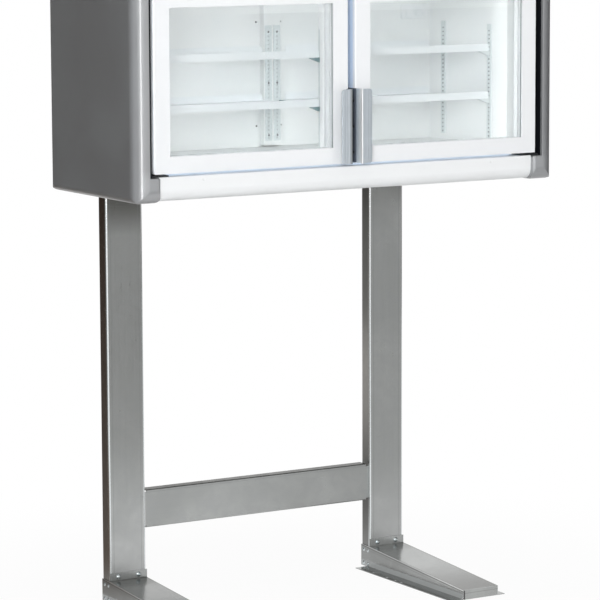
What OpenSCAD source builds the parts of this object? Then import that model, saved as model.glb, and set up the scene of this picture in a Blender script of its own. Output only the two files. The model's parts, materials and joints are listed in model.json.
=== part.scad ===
/* [Cabinet] */
// Width over the two end caps
cab_w = 1200; // [1160:10:1300]
// Depth from the front of the end caps to the back panel
cab_d = 453; // [445:1:480]
// Height of the cabinet with its machine compartment
cab_h = 785; // [770:5:850]
// Height of the end caps' lower edge above the floor
cab_z = 1065; // [900:5:1200]
// Width of an end cap seen from the front
cap_w = 40; // [38:1:50]
// Wall of the moulded end caps
cap_wall = 3.5; // [2.5:0.5:5]
// Rounding of the end caps' outer edges
cap_edge_r = 18; // [10:1:24]
// Rounding of the end caps' upright front corner
cap_corner_r = 36; // [20:1:38]
// Rounding of the end caps' lower and upper front corner, seen from the side
cap_nose_r = 32; // [18:1:40]
// How far the lip of an end cap reaches in under the door
lip_w = 26; // [15:1:40]
// How far the end caps stand lower than the bottom rail
cap_drop = 3; // [1:0.5:6]
// Sheet of the casing and of the back panel
sheet_t = 1.5; // [1:0.5:2]

/* [Compartment] */
// Clear width of the freezing compartment
inner_w = 980; // [920:10:1000]
// Height of the doors' lower edge below the compartment's floor
floor_step = 13; // [13:1:30]
// Height of the doors' upper edge above the compartment's ceiling
ceiling_step = 17; // [15:1:30]
// Foam behind the compartment
back_foam = 36.5; // [30:0.5:50]
// Foam over the compartment
roof_foam = 55.5; // [50:0.5:70]
// Wall of the white liner
liner_t = 2; // [1.5:0.5:3]
// Depth of the door and its gasket, from the front of the caps to the liner's front face
jamb_set = 58; // [58:1:64]
// Width of the centre mullion between the doors
mullion_w = 110; // [100:2:130]
// Thickness of the mullion's front plate
mullion_t = 18; // [12:1:24]
// Width of the post behind the mullion
post_w = 24; // [20:1:30]
// Width of the channel that stands at the middle of the back wall
duct_w = 50; // [46:1:70]
// Depth of that channel
duct_d = 20; // [15:1:30]

/* [Shelves] */
// Height of the lower shelf's rim over the compartment's floor
shelf_low = 137; // [100:1:160]
// Height of the upper shelf's rim over the compartment's floor
shelf_high = 258; // [220:1:290]
// Height of a shelf's front and rear rim
rim_h = 18.5; // [14:0.5:26]
// Sheet of a shelf
shelf_t = 1.2; // [0.8:0.1:2]
// Distance of the shelves' front rim behind the liner's front face
shelf_front = 75; // [50:1:90]
// Distance of the shelves' rear rim in front of the back wall
shelf_back = 26; // [24:1:50]
// Gap between a shelf's outer end and the side wall
shelf_side = 5; // [4:0.5:8]
// Distance of a shelf's inner end from the middle
shelf_mid = 20; // [18.5:0.5:26]
// Pitch of the slots in the shelf standards
slot_pitch = 10.3; // [8:0.1:20]

/* [Doors] */
// Height of a door
door_h = 430; // [400:5:460]
// Thickness of a door frame
door_t = 40; // [36:1:42]
// Distance of the door fronts behind the front of the end caps
door_set = 10; // [6:1:14]
// Gap between a door and the end cap
side_gap = 12.5; // [12:0.5:16]
// Gap between the two doors
mid_gap = 19; // [16:1:24]
// Gap over and under a door
low_gap = 7; // [6.5:0.5:10]
// Width of a door's stiles
stile_w = 43; // [40:1:60]
// Height of a door's upper and lower bar
bar_w = 40; // [36:1:60]
// Distance of the glass behind the frame's front
glass_set = 4; // [2:0.5:6]
// Thickness of a pane
pane_t = 4; // [3:0.5:6]
// Space between the panes
pane_gap = 12; // [8:1:14]
// Width of the gasket on the back of a door
gasket_w = 11; // [8:1:11]
// Radius of a hinge pin
pin_r = 4; // [3:0.5:5]
// Running clearance of a hinge pin in its bush
pin_fit = 0.05; // [0.02:0.01:0.1]

/* [Handles] */
// Length of a handle
handle_l = 182; // [120:2:300]
// Distance of a handle's front face before the door
handle_out = 26; // [20:1:40]
// Width of a handle's front face
handle_w = 30; // [20:1:38]
// Wall of a handle
handle_t = 3; // [2:0.5:4]

/* [Stand] */
// Distance between the middles of the two uprights
stand_pitch = 780; // [700:10:860]
// Width of an upright
up_w = 103; // [80:1:120]
// Depth of an upright
up_d = 40; // [34:1:60]
// Height of an upright
up_h = 1600; // [1560:10:1640]
// Sheet of the uprights, the crossbar and the feet
stand_t = 2; // [1.5:0.5:3]
// Depth of the brackets between the uprights and the cabinet
stand_gap = 12; // [8:1:30]
// Height of the crossbar's lower edge
bar_z = 182; // [120:2:400]
// Height of the crossbar
bar_h = 98; // [60:2:140]
// Distance of the crossbar's face behind the uprights' face
bar_set = 8; // [4:1:12]
// Length of a foot, from the back of the upright
foot_l = 487; // [420:1:520]
// Height of a foot at the upright
foot_h = 56; // [52:1:70]
// Height of a foot at its front end
foot_nose = 25; // [18:1:40]
// Height of the tab that the foot turns up against the upright
tab_z = 77; // [74:1:95]
// Width of a foot's inner floor flange
flange_in = 38; // [30:1:60]
// Width of a foot's outer floor flange
flange_out = 21; // [12:1:40]

/* [Hidden] */
$fn = 48;
rail_h = 59;
rail_wall = 2.5;
rail_r = 26;
knob_r = 16;

overall_d = cab_d + stand_gap + up_d + handle_out - door_set;
y_grip = -overall_d / 2;
y_door = y_grip + handle_out;
y_cap = y_door - door_set;
y_jamb = y_cap + jamb_set;
y_back = y_cap + cab_d;
y_up = y_back + stand_gap;
y_rear = y_up + up_d;
y_wall = y_back - sheet_t - back_foam - liner_t;

x_out = cab_w / 2;
x_case = x_out - cap_w;
x_lip = x_case - lip_w;
x_in = inner_w / 2;

z_case = cab_z + cap_drop;
z_rail = z_case + rail_h;
z_door = z_rail + low_gap;
z_door_top = z_door + door_h;
z_top_rail = z_door_top + low_gap;
z_head = z_top_rail + rail_h;
z_in = z_door + floor_step;
z_in_top = z_door_top - ceiling_step;
z_roof = z_in_top + liner_t + roof_foam + sheet_t;
z_cab_top = cab_z + cab_h;
z_cover = z_cab_top - cap_drop - sheet_t;

// Doors, given for the right one and mirrored for the left
dx0 = mid_gap / 2;
dx1 = x_case - side_gap;
sight = [dx0 + stile_w, z_door + bar_w, dx1 - stile_w, z_door_top - bar_w];
glass_lap = 12;
hinge_in = 14;
hinge_back = 16;
hx = dx1 - hinge_in;
hy = y_door + hinge_back;
bush_r = pin_r + 2;
bush_l = 22;
gasket_t = y_jamb - y_door - door_t - 0.3;
plate_t = 4;
leg_x = dx0 + 3.2;
leg_deep = 14;
grip_z = [z_door, z_door + handle_l];
screw_z = [for (k = [0, 1, 2]) z_door + 26 + k * (handle_l - 56) / 2];
screw_y = y_door + 9.5;

// Shelves
shelf_x = [shelf_mid, x_in - shelf_side];
shelf_y = [y_jamb + shelf_front, y_wall - shelf_back];
shelf_z = [z_in + shelf_low, z_in + shelf_high];
strip_w = 19;
strip_t = 2.5;
strip_z = [z_in + 16, z_in + 308];
clip_l = 27;
clip_w = 12;
clip_h = 13;
post_end = y_jamb + 90;
strip_back_y = y_wall - 67;
strip_front_y = shelf_y[0] + 3;

// Stand
x_up = stand_pitch / 2;
fit = 0.1;
foot_x = [x_up - up_w / 2 - fit - stand_t, x_up + up_w / 2 + fit + stand_t];
foot_y = y_rear - foot_l;
flange_y = y_rear - 32;
flange_holes = [110, 175, 216, 244];
hole_in = 8;
rivet_r = 2.6;
rivet_y = [y_rear - 13, y_rear - 33];
rivet_z = [foot_h - 12, 8];
bolt_r = 3;
tab_bolt_x = 28.5;
tab_bolt_z = foot_h + 10;
bar_half = x_up - up_w / 2 - fit;
bar_y = y_up + bar_set;
bar_bolt_y = bar_y + 14;
bar_bolt_z = [bar_z + bar_h * 0.28, bar_z + bar_h * 0.72];
bracket_z = [z_in + 10, z_in_top - 30];
bracket_bolt_z = [bracket_z[0] + 60, bracket_z[1] - 60];
bracket_w = 50;
bracket_lug = 22;

// Cooling unit; bay is the height of its room over the roof against a usual 239.5
bay = (z_cover - z_roof) / 239.5;
box_x = [-x_case + 25, -x_case + 520];
fan_x = box_x[0] + 365;
fan_y = (y_jamb + y_wall) / 2;
fan_r = 70;
duct_r = fan_r + 6;
port_start = max(box_x[0] + 65, -x_in + 20);
port_half = 90;
back_x = [port_start, port_start + 170];
back_y = [fan_y - port_half, fan_y + port_half];
box_y = [y_jamb + 4, y_wall - 6];
box_top = z_roof + 200 * bay;
box_wall = 28;
coil_x = [box_x[0] + 55, box_x[0] + 245];
coil_y = [fan_y - 100, fan_y + 100];
coil_z = [z_roof + 22 * bay, z_roof + 122 * bay];
coil_rows = 4;
cond_rows = 5;
pipe_hole_z = row_z(coil_z, coil_rows, coil_rows - 1) - 6.5;
pipe_hole_r = 14;
cond_x = [70, 330];
cond_y = [y_jamb + 4, y_jamb + 48];
cond_z = [z_roof + 12 * bay, z_roof + 204 * bay];
cond_fan_x = (cond_x[0] + cond_x[1]) / 2;
cond_fan_z = (cond_z[0] + cond_z[1]) / 2;
cond_fan_r = 84 * bay;
arm_x = cond_fan_r + 16;
shroud_y = cond_y[1];
cond_fan_y = shroud_y + 22;
motor_y = cond_fan_y + 14;
comp_x = x_case - 120;
comp_y = fan_y + 40;
comp_r = 74;
comp_h = 168 * bay;
ctrl_x = [-x_case + 55, -x_case + 215];
ctrl_z = [z_cover - 125.5, z_cover - 55.5];
ctrl_y = [y_door + 2, y_door + 42];
knob_x = ctrl_x[0] + 130;
knob_z = (ctrl_z[0] + ctrl_z[1]) / 2;
rocker_x = ctrl_x[0] + 85;
rocker_w = 13;
rocker_h = 21;
rocker_tilt = 8;
inlet_x = x_case - 60;
inlet_z = z_roof + 60;
inlet_w = 28;
inlet_h = 20;
lug_x = bracket_w / 2 + bracket_lug / 2;
lug_z = [bracket_z[0] + 20, bracket_z[1] - 20];

// A block given by its lowest and its highest corner
module block(a, b) {
    translate(a) cube(b - a);
}

// A flat shape in X and Y carried up from z0 to z1
module along_z(z0, z1) {
    translate([0, 0, z0]) linear_extrude(z1 - z0) children();
}

// A flat shape in Y and Z carried from x0 to x1
module along_x(x0, x1) {
    translate([x0, 0, 0]) rotate([90, 0, 90]) linear_extrude(x1 - x0) children();
}

// A flat shape in X and Z carried from y0 to y1
module along_y(y0, y1) {
    translate([0, y1, 0]) rotate([90, 0, 0]) linear_extrude(y1 - y0) children();
}

// What a rounded corner at p loses; s points from the corner into the shape
module corner_off(p, s, r) {
    if (r > 0)
        translate(p)
            scale([s[0], s[1]])
                difference() {
                    translate([-1, -1]) square(r + 1);
                    translate([r, r]) circle(r);
                }
}

// A rectangle from a to b with the radii of its corners, counted round from a
module round_rect(a, b, r = [0, 0, 0, 0]) {
    difference() {
        translate(a) square(b - a);
        corner_off(a, [1, 1], r[0]);
        corner_off([b[0], a[1]], [-1, 1], r[1]);
        corner_off(b, [-1, -1], r[2]);
        corner_off([a[0], b[1]], [1, -1], r[3]);
    }
}

// A domed bolt along Z: head above z = 0, the clamped sheets below, then the nut
module dome_bolt(head_r, head_h, shank_r, grip, nut_r, nut_h, nut_sides = 6) {
    ball = (head_r * head_r + head_h * head_h) / (2 * head_h);
    intersection() {
        translate([0, 0, head_h - ball]) sphere(ball);
        cylinder(r = head_r, h = head_h + 1);
    }
    translate([0, 0, -grip]) cylinder(r = shank_r, h = grip + 0.2);
    translate([0, 0, -grip - nut_h]) cylinder(r = nut_r, h = nut_h, $fn = nut_sides);
}

module right_side() {
    children();
}

module left_side() {
    mirror([1, 0, 0]) children();
}

module both_sides() {
    children();
    mirror([1, 0, 0]) children();
}

// Stand: folded channel with turned-in lips, open to the back
module upright() {
    a = [x_up - up_w / 2, y_up];
    b = [x_up + up_w / 2, y_rear];
    t = stand_t;
    lip = 14;
    color("lightslategray")
        difference() {
            along_z(t, up_h)
                difference() {
                    round_rect(a, b, [4, 4, 4, 4]);
                    round_rect(a + [t, t], b - [t, t], [2, 2, 2, 2]);
                    translate([a[0] + lip, y_rear - t - 1]) square([up_w - 2 * lip, t + 2]);
                }
            for (s = [-1, 1])
                translate([x_up + s * tab_bolt_x, y_up - 1, tab_bolt_z])
                    rotate([-90, 0, 0]) cylinder(r = bolt_r + fit, h = t + 2);
            for (z = bracket_bolt_z)
                translate([x_up, y_up - 1, z])
                    rotate([-90, 0, 0]) cylinder(r = bolt_r + fit, h = t + 2);
            for (z = bar_bolt_z)
                translate([a[0] - 1, bar_bolt_y, z])
                    rotate([0, 90, 0]) cylinder(r = bolt_r + fit, h = t + 2);
            for (y = rivet_y, z = rivet_z)
                translate([a[0] - 1, y, z])
                    rotate([0, 90, 0]) cylinder(r = rivet_r + fit, h = up_w + 2);
        }
}

module left_upright() {
    left_side() upright();
}

module right_upright() {
    right_side() upright();
}

// Channel between the uprights, its ends folded back against them
module crossbar() {
    t = stand_t;
    deep = 30;
    tab = 26;
    notch = 7;
    color("lightslategray")
        difference() {
            union() {
                along_x(-bar_half, bar_half)
                    difference() {
                        round_rect([bar_y, bar_z], [bar_y + deep, bar_z + bar_h], [3.5, 0, 0, 3.5]);
                        round_rect([bar_y + t, bar_z + t], [bar_y + deep + 1, bar_z + bar_h - t],
                                   [1.5, 0, 0, 1.5]);
                    }
                both_sides()
                    block([bar_half - t, bar_y + 1, bar_z + notch],
                          [bar_half, bar_y + tab, bar_z + bar_h - notch]);
            }
            both_sides() {
                for (z = [bar_z - 1, bar_z + bar_h - notch + 1])
                    block([bar_half - notch, bar_y - 1, z], [bar_half + 1, bar_y + deep + 1, z + notch]);
                for (z = bar_bolt_z)
                    translate([bar_half - t - 1, bar_bolt_y, z])
                        rotate([0, 90, 0]) cylinder(r = bolt_r + fit, h = t + 2);
            }
        }
}

// Tapered box foot: two side plates, a sloping top that turns up behind and down in front
module foot() {
    t = stand_t;
    x0 = foot_x[0];
    x1 = foot_x[1];
    color("lightslategray")
        difference() {
            union() {
                along_x(x0, x1)
                    polygon([[y_rear, 0], [y_rear, foot_h + 1], [y_up, foot_h],
                             [foot_y, foot_nose], [foot_y, 0]]);
                block([x0, y_up - t, foot_h - t], [x1, y_up, tab_z]);
                block([x0 - flange_in, foot_y, 0], [x0 + t, flange_y, t]);
                block([x1 - t, foot_y, 0], [x1 + flange_out, flange_y, t]);
            }
            along_x(x0 + t, x1 - t)
                polygon([[y_rear + 1, -1], [y_rear + 1, tab_z + 1], [y_up, tab_z + 1],
                         [y_up, foot_h - t], [foot_y + t, foot_nose - t], [foot_y + t, -1]]);
            block([x0 + t, foot_y - 1, -1], [x0 + t + 2, foot_y + t + 1, foot_nose - t]);
            for (s = [-1, 1])
                translate([x_up + s * tab_bolt_x, y_up - t - 1, tab_bolt_z])
                    rotate([-90, 0, 0]) cylinder(r = bolt_r + fit, h = t + 2);
            for (y = rivet_y, z = rivet_z)
                translate([x0 - 1, y, z])
                    rotate([0, 90, 0]) cylinder(r = rivet_r + fit, h = x1 - x0 + 2);
            for (d = flange_holes)
                translate([x0 - flange_in + hole_in, y_rear - d, -1])
                    cylinder(r = bolt_r, h = t + 2);
        }
}

module left_foot() {
    left_side() foot();
}

module right_foot() {
    right_side() foot();
}

// Rivets that hold the feet's side plates to the uprights
module foot_rivets() {
    grip = 2 * stand_t + fit;
    color("silver")
        both_sides()
            for (y = rivet_y, z = rivet_z) {
                translate([foot_x[0], y, z])
                    rotate([0, -90, 0]) dome_bolt(5, 2.4, rivet_r, grip, 2.9, 1.5, 24);
                translate([foot_x[1], y, z])
                    rotate([0, 90, 0]) dome_bolt(5, 2.4, rivet_r, grip, 2.9, 1.5, 24);
            }
}

// Bolts of the feet's tabs, of the crossbar and of the cabinet's brackets
module stand_bolts() {
    color("silver")
        both_sides() {
            for (s = [-1, 1])
                translate([x_up + s * tab_bolt_x, y_up - stand_t, tab_bolt_z])
                    rotate([90, 0, 0]) dome_bolt(6.5, 4, bolt_r, 2 * stand_t, 5.5, 5);
            for (z = bar_bolt_z)
                translate([bar_half - stand_t, bar_bolt_y, z])
                    rotate([0, -90, 0]) dome_bolt(6.5, 4, bolt_r, 2 * stand_t + fit, 5.5, 5);
            for (z = bracket_bolt_z)
                translate([x_up, y_up + stand_t, z])
                    rotate([-90, 0, 0]) dome_bolt(6.5, 4, bolt_r, 2 * stand_t, 5.5, 4.5);
            for (s = [-1, 1], z = lug_z)
                translate([x_up + s * lug_x, y_back + stand_t, z])
                    rotate([-90, 0, 0]) dome_bolt(5, 2.5, bolt_r, stand_t + sheet_t, 4.5, 6, 24);
        }
}

// Hat-shaped brackets between the cabinet's back and the uprights
module mount_brackets() {
    t = stand_t;
    w = bracket_w / 2;
    color("silver")
        both_sides() difference() {
            along_z(bracket_z[0], bracket_z[1])
                translate([x_up, 0])
                    difference() {
                        union() {
                            translate([-w, y_back]) square([2 * w, stand_gap]);
                            translate([-w - bracket_lug, y_back])
                                square([2 * (w + bracket_lug), t]);
                        }
                        translate([-w + t, y_back - 1]) square([2 * (w - t), stand_gap - t + 1]);
                    }
            for (z = bracket_bolt_z)
                translate([x_up, y_up - t - 1, z])
                    rotate([-90, 0, 0]) cylinder(r = bolt_r + fit, h = t + 2);
            for (s = [-1, 1], z = lug_z)
                translate([x_up + s * lug_x, y_back - 1, z])
                    rotate([-90, 0, 0]) cylinder(r = bolt_r + fit, h = t + 2);
        }
}

// Drilling for the screws that hold the brackets' lugs to the cabinet's back
module lug_holes(r, deep) {
    both_sides()
        for (s = [-1, 1], z = lug_z)
            translate([x_up + s * lug_x, y_back - deep, z])
                rotate([-90, 0, 0]) cylinder(r = r, h = deep + 1);
}

// Openings between the compartment and the evaporator box
module roof_ports(z0, z1) {
    block([fan_x - duct_r, fan_y - duct_r, z0], [fan_x + duct_r, fan_y + duct_r, z1]);
    block([back_x[0], back_y[0], z0], [back_x[1], back_y[1], z1]);
}

// Painted steel box of the cabinet, whose side walls go on up round the machine compartment
module outer_casing() {
    t = sheet_t;
    color("gainsboro")
        difference() {
            block([-x_case, y_jamb, z_case], [x_case, y_back - t, z_cover]);
            block([-x_case + t, y_jamb - 1, z_case + t], [x_case - t, y_back, z_roof - t]);
            block([-x_case + t, y_jamb - 1, z_roof], [x_case - t, y_back, z_cover + 1]);
            roof_ports(z_roof - t - 1, z_roof + 1);
        }
}

// Back panel with the machine compartment's air slots and the inlet's window
module back_panel() {
    rows = 12;
    color("gainsboro")
        difference() {
            block([-x_case, y_back - sheet_t, z_case], [x_case, y_back, z_cover]);
            for (k = [0 : rows - 1])
                block([60, y_back - sheet_t - 1, z_roof + (60 + 11 * k) * bay],
                      [400, y_back + 1, z_roof + (65 + 11 * k) * bay]);
            block([inlet_x - 9 - fit, y_back - sheet_t - 1, inlet_z - 6 - fit],
                  [inlet_x + 9 + fit, y_back + 1, inlet_z + 6 + fit]);
            lug_holes(bolt_r + fit, sheet_t + 1);
        }
}

// Foam between the casing and the liner
module insulation() {
    t = sheet_t;
    l = liner_t;
    color("khaki")
        difference() {
            block([-x_case + t, y_jamb + l, z_case + t], [x_case - t, y_back - t, z_roof - t]);
            block([-x_in - l, y_jamb - 1, z_in - l], [x_in + l, y_wall + l, z_in_top + l]);
            roof_ports(z_in_top, z_roof + 1);
            lug_holes(4.5 + fit, sheet_t + 6.5);
        }
}

// White inner box, open in front
module inner_liner() {
    l = liner_t;
    color("white")
        difference() {
            block([-x_in - l, y_jamb, z_in - l], [x_in + l, y_wall + l, z_in_top + l]);
            block([-x_in, y_jamb - 1, z_in], [x_in, y_wall, z_in_top]);
            roof_ports(z_in_top - 1, z_in_top + l + 1);
        }
}

// Flat frame between the liner's front edge and the casing, which the gaskets close on
module breaker_frame() {
    t = sheet_t;
    l = liner_t;
    color("white")
        difference() {
            block([-x_case + t, y_jamb, z_case + t], [x_case - t, y_jamb + l, z_roof - t]);
            block([-x_in - l, y_jamb - 1, z_in - l], [x_in + l, y_jamb + l + 1, z_in_top + l]);
        }
}

// Centre mullion: the plate that both gaskets close on, and the post behind it
module centre_mullion() {
    w = mullion_w / 2;
    color("white")
        along_z(z_in, z_in_top)
            union() {
                round_rect([-w, y_jamb], [w, y_jamb + mullion_t], [3, 3, 5, 5]);
                translate([-post_w / 2, y_jamb + mullion_t - 1])
                    square([post_w, post_end - y_jamb - mullion_t + 1]);
            }
}

// The outer form of an end cap, drawn in by g on its outer faces
module cap_form(g, x0) {
    side_r = [cap_nose_r - g, cap_edge_r - g, cap_edge_r - g, cap_nose_r - g];
    intersection() {
        along_x(x0, x_out - g)
            round_rect([y_cap + g, cab_z + g], [y_back - g, z_cab_top - g], side_r);
        along_z(cab_z + g, z_cab_top - g)
            round_rect([x0, y_cap + g], [x_out - g, y_back - g],
                       [0, cap_corner_r - g, cap_edge_r - g, 0]);
        along_y(y_cap + g, y_back - g)
            round_rect([x0, cab_z + g], [x_out - g, z_cab_top - g],
                       [0, cap_edge_r - g, cap_edge_r - g, 0]);
    }
}

// Moulded end cap: a shell over the casing's side, closed in front, with a lip under the door
module end_cap() {
    w = cap_wall;
    lip_top = z_rail - 1;
    color("dimgray")
        union() {
            difference() {
                cap_form(0, x_case);
                difference() {
                    cap_form(w, x_case - 1);
                    block([x_case - 2, y_cap, cab_z], [x_case + w, y_jamb, z_cab_top]);
                }
            }
            intersection() {
                along_x(x_lip, x_case + 1)
                    round_rect([y_cap, cab_z], [y_jamb, lip_top], [cap_nose_r, 0, 0, 2]);
                along_y(y_cap, y_jamb)
                    round_rect([x_lip, cab_z], [x_case + 1, lip_top], [10, 0, 0, 7]);
                along_z(cab_z, lip_top)
                    round_rect([x_lip, y_cap], [x_case + 1, y_jamb], [9, 0, 0, 0]);
            }
        }
}

module left_end_cap() {
    left_side() end_cap();
}

module right_end_cap() {
    right_side() end_cap();
}

// Hollow white rail under the doors, rounded below
module bottom_rail() {
    a = [y_door + 2, z_case];
    b = [y_jamb, z_rail];
    w = rail_wall;
    color("white")
        difference() {
            along_x(-x_lip, x_lip)
                difference() {
                    round_rect(a, b, [rail_r, 0, 0, 3]);
                    round_rect(a + [w, w], b - [w, w], [rail_r - w, 0, 0, 1]);
                }
            both_sides()
                translate([x_case - 147, y_door, z_rail - 10])
                    rotate([-90, 0, 0]) cylinder(r = 3.4 + fit, h = 10);
        }
}

// Hollow white rail over the doors
module top_rail() {
    w = rail_wall;
    a = [y_door + 2, z_top_rail];
    b = [y_jamb, z_head];
    color("white")
        along_x(-x_case + fit, x_case - fit)
            difference() {
                round_rect(a, b, [3, 0, 0, 3]);
                round_rect(a + [w, w], b - [w, w], [1, 0, 0, 1]);
            }
}

// Plugs that close the screw holes of the bottom rail
module rail_plugs() {
    color("white")
        both_sides()
            translate([x_case - 147, y_door + 2, z_rail - 10])
                rotate([90, 0, 0]) dome_bolt(4.5, 1, 3.4, 6, 3.4, 1, 24);
}

// Channel up the middle of the back wall
module rear_channel() {
    t = 1.5;
    color("whitesmoke")
        along_z(z_in + 5, z_in_top)
            difference() {
                round_rect([-duct_w / 2, y_wall - duct_d], [duct_w / 2, y_wall], [2, 2, 0, 0]);
                translate([-duct_w / 2 + t, y_wall - duct_d + t]) square([duct_w - 2 * t, duct_d]);
            }
}

// One slotted strip, standing on y = 0 with its face towards -Y
module strip() {
    slots = floor((strip_z[1] - strip_z[0] - 6) / slot_pitch);
    difference() {
        block([-strip_w / 2, -strip_t, strip_z[0]], [strip_w / 2, 0, strip_z[1]]);
        for (k = [0 : slots - 1])
            block([-2.5, -strip_t - 1, strip_z[0] + 5 + k * slot_pitch],
                  [2.5, 1, strip_z[0] + 8.5 + k * slot_pitch]);
    }
}

// Slotted strips that carry the shelf clips
module shelf_standards() {
    color("lightgray")
        both_sides() {
            translate([12.5, y_wall - duct_d, 0]) strip();
            translate([post_w / 2, strip_front_y, 0]) rotate([0, 0, 90]) strip();
            for (y = [strip_back_y, strip_front_y])
                translate([x_in, y, 0]) rotate([0, 0, -90]) strip();
        }
}

// One clip: a wedge that juts out by its length along -Y, its flat top at z = 0
module clip(w) {
    along_x(-w / 2, w / 2)
        polygon([[0, -clip_h], [0, 0], [-clip_l, 0], [-clip_l, -2.5]]);
}

// Clips under the corners of the shelves
module shelf_clips() {
    color("lightgray")
        both_sides()
            for (top = shelf_z) {
                z = top - rim_h;
                translate([shelf_mid + 1, y_wall - duct_d - strip_t, z]) clip(8);
                translate([post_w / 2 + strip_t, strip_front_y + 4, z]) rotate([0, 0, 90]) clip(clip_w);
                for (y = [strip_back_y, strip_front_y + 4])
                    translate([x_in - strip_t, y, z]) rotate([0, 0, -90]) clip(clip_w);
            }
}

// Sheet shelf with a raised rim in front and behind
module shelf(top) {
    z0 = top - rim_h;
    color("white")
        union() {
            block([shelf_x[0], shelf_y[0], z0], [shelf_x[1], shelf_y[1], z0 + shelf_t]);
            along_y(shelf_y[0], shelf_y[0] + shelf_t)
                round_rect([shelf_x[0], z0], [shelf_x[1], top], [0, 0, 8, 2]);
            along_y(shelf_y[1] - shelf_t, shelf_y[1])
                round_rect([shelf_x[0] + 14, z0], [shelf_x[1] - 14, top], [0, 0, 8, 8]);
        }
}

module left_lower_shelf() {
    left_side() shelf(shelf_z[0]);
}

module left_upper_shelf() {
    left_side() shelf(shelf_z[1]);
}

module right_lower_shelf() {
    right_side() shelf(shelf_z[0]);
}

module right_upper_shelf() {
    right_side() shelf(shelf_z[1]);
}

// Slotted air grille under the ports of the ceiling
module ceiling_grille() {
    deep = port_half + 10;
    g = [back_x[0] - 16, fan_y - deep, fan_x + duct_r + 20, fan_y + deep];
    bars = 14;
    step = (g[3] - g[1] - 20) / bars;
    color("white")
        difference() {
            block([g[0], g[1], z_in_top - 6], [g[2], g[3], z_in_top]);
            for (k = [0 : bars - 1])
                block([g[0] + 14, g[1] + 13 + k * step, z_in_top - 7],
                      [g[2] - 14, g[1] + 13 + k * step + step - 5, z_in_top + 1]);
        }
}

// Light strips behind the mullion's plate, one for each side
module led_strips() {
    x0 = post_w / 2 + 12;
    y0 = y_jamb + mullion_t;
    color("lightyellow")
        both_sides()
            along_z(z_in + 14, z_in_top - 14)
                round_rect([x0, y0], [x0 + 16, y0 + 8], [0, 0, 3, 3]);
}

// Hinge plates over and under the doors, each with its pin and washer
module hinge_brackets() {
    reach = 20;
    color("black")
        both_sides()
            for (upper = [0, 1])
                translate([0, 0, upper * (z_rail + z_top_rail)])
                    mirror([0, 0, upper]) {
                        block([hx - 26, hy - 12, z_rail], [x_case - 2, y_jamb, z_rail + plate_t]);
                        translate([hx, hy, z_rail + plate_t]) {
                            cylinder(r = 8, h = low_gap - plate_t - 0.3);
                            cylinder(r = pin_r, h = low_gap - plate_t + reach);
                        }
                    }
}

// Door frame with its glass groove, handle slot and hinge sockets
module door_frame() {
    g = sight;
    lap = glass_lap;
    y0 = y_door + glass_set;
    color("white")
        difference() {
            intersection() {
                along_y(y_door, y_door + door_t)
                    round_rect([dx0, z_door], [dx1, z_door_top], [3, 3, 3, 3]);
                along_z(z_door, z_door_top)
                    round_rect([dx0, y_door], [dx1, y_door + door_t], [4, 4, 2, 2]);
            }
            block([g[0], y_door - 1, g[1]], [g[2], y_door + door_t + 1, g[3]]);
            block([g[0] - lap, y0, g[1] - lap],
                  [g[2] + lap, y0 + 2 * pane_t + pane_gap, g[3] + lap]);
            block([leg_x - fit, y_door - 1, grip_z[0] - 1],
                  [leg_x + handle_t + fit, y_door + leg_deep + fit, grip_z[1] + fit]);
            for (z = screw_z)
                translate([dx0 - 1, screw_y, z])
                    rotate([0, 90, 0]) cylinder(r = 2.3 + fit, h = 20);
            for (z = [z_door - 1, z_door_top - bush_l])
                translate([hx, hy, z]) cylinder(r = bush_r, h = bush_l + 1);
        }
}

// Panes lie in the frame's groove, y0 behind the front
module pane(y0) {
    g = sight;
    lap = glass_lap - 0.3;
    color("lightcyan")
        block([g[0] - lap, y0, g[1] - lap], [g[2] + lap, y0 + pane_t, g[3] + lap]);
}

module outer_pane() {
    pane(y_door + glass_set);
}

module inner_pane() {
    pane(y_door + glass_set + pane_t + pane_gap);
}

// Hollow bar that keeps the panes apart
module pane_spacer() {
    g = sight;
    w = 8;
    y0 = y_door + glass_set + pane_t;
    color("silver")
        difference() {
            block([g[0] - w, y0, g[1] - w], [g[2] + w, y0 + pane_gap, g[3] + w]);
            block([g[0] - 0.5, y0 - 1, g[1] - 0.5], [g[2] + 0.5, y0 + pane_gap + 1, g[3] + 0.5]);
        }
}

// Magnetic gasket on the back of a door
module gasket() {
    a = [dx0 + 14, z_door + 1];
    b = [hx, z_door_top - 1];
    w = gasket_w;
    color("whitesmoke")
        along_y(y_door + door_t, y_door + door_t + gasket_t)
            difference() {
                round_rect(a, b, [3, 3, 3, 3]);
                round_rect(a + [w, w], b - [w, w], [1, 1, 1, 1]);
            }
}

// Angle-shaped pull: a leg let into the stile and a face that stands before the door
module handle() {
    y0 = y_door - handle_out;
    x1 = leg_x + handle_w;
    t = handle_t;
    color("silver")
        difference() {
            intersection() {
                along_z(grip_z[0], grip_z[1])
                    difference() {
                        round_rect([leg_x, y0], [x1, y_door + leg_deep], [4, 1.4, 0, 0]);
                        round_rect([leg_x + t, y0 + t], [x1 + 1, y_door + leg_deep + 1], [1, 0, 0, 0]);
                    }
                along_y(y0 - 1, y_door + leg_deep + 1)
                    round_rect([leg_x - 1, grip_z[0]], [x1, grip_z[1]], [0, 8, 8, 0]);
            }
            for (z = screw_z)
                translate([leg_x - 1, screw_y, z])
                    rotate([0, 90, 0]) cylinder(r = 2.3 + fit, h = t + 2);
        }
}

// Screws through the edge of a door into the handle's leg
module handle_screws() {
    color("black")
        for (z = screw_z)
            translate([dx0, screw_y, z])
                rotate([0, -90, 0]) dome_bolt(3.8, 2, 2.3, leg_x + handle_t - dx0, 2.3, 0.6, 24);
}

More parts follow.
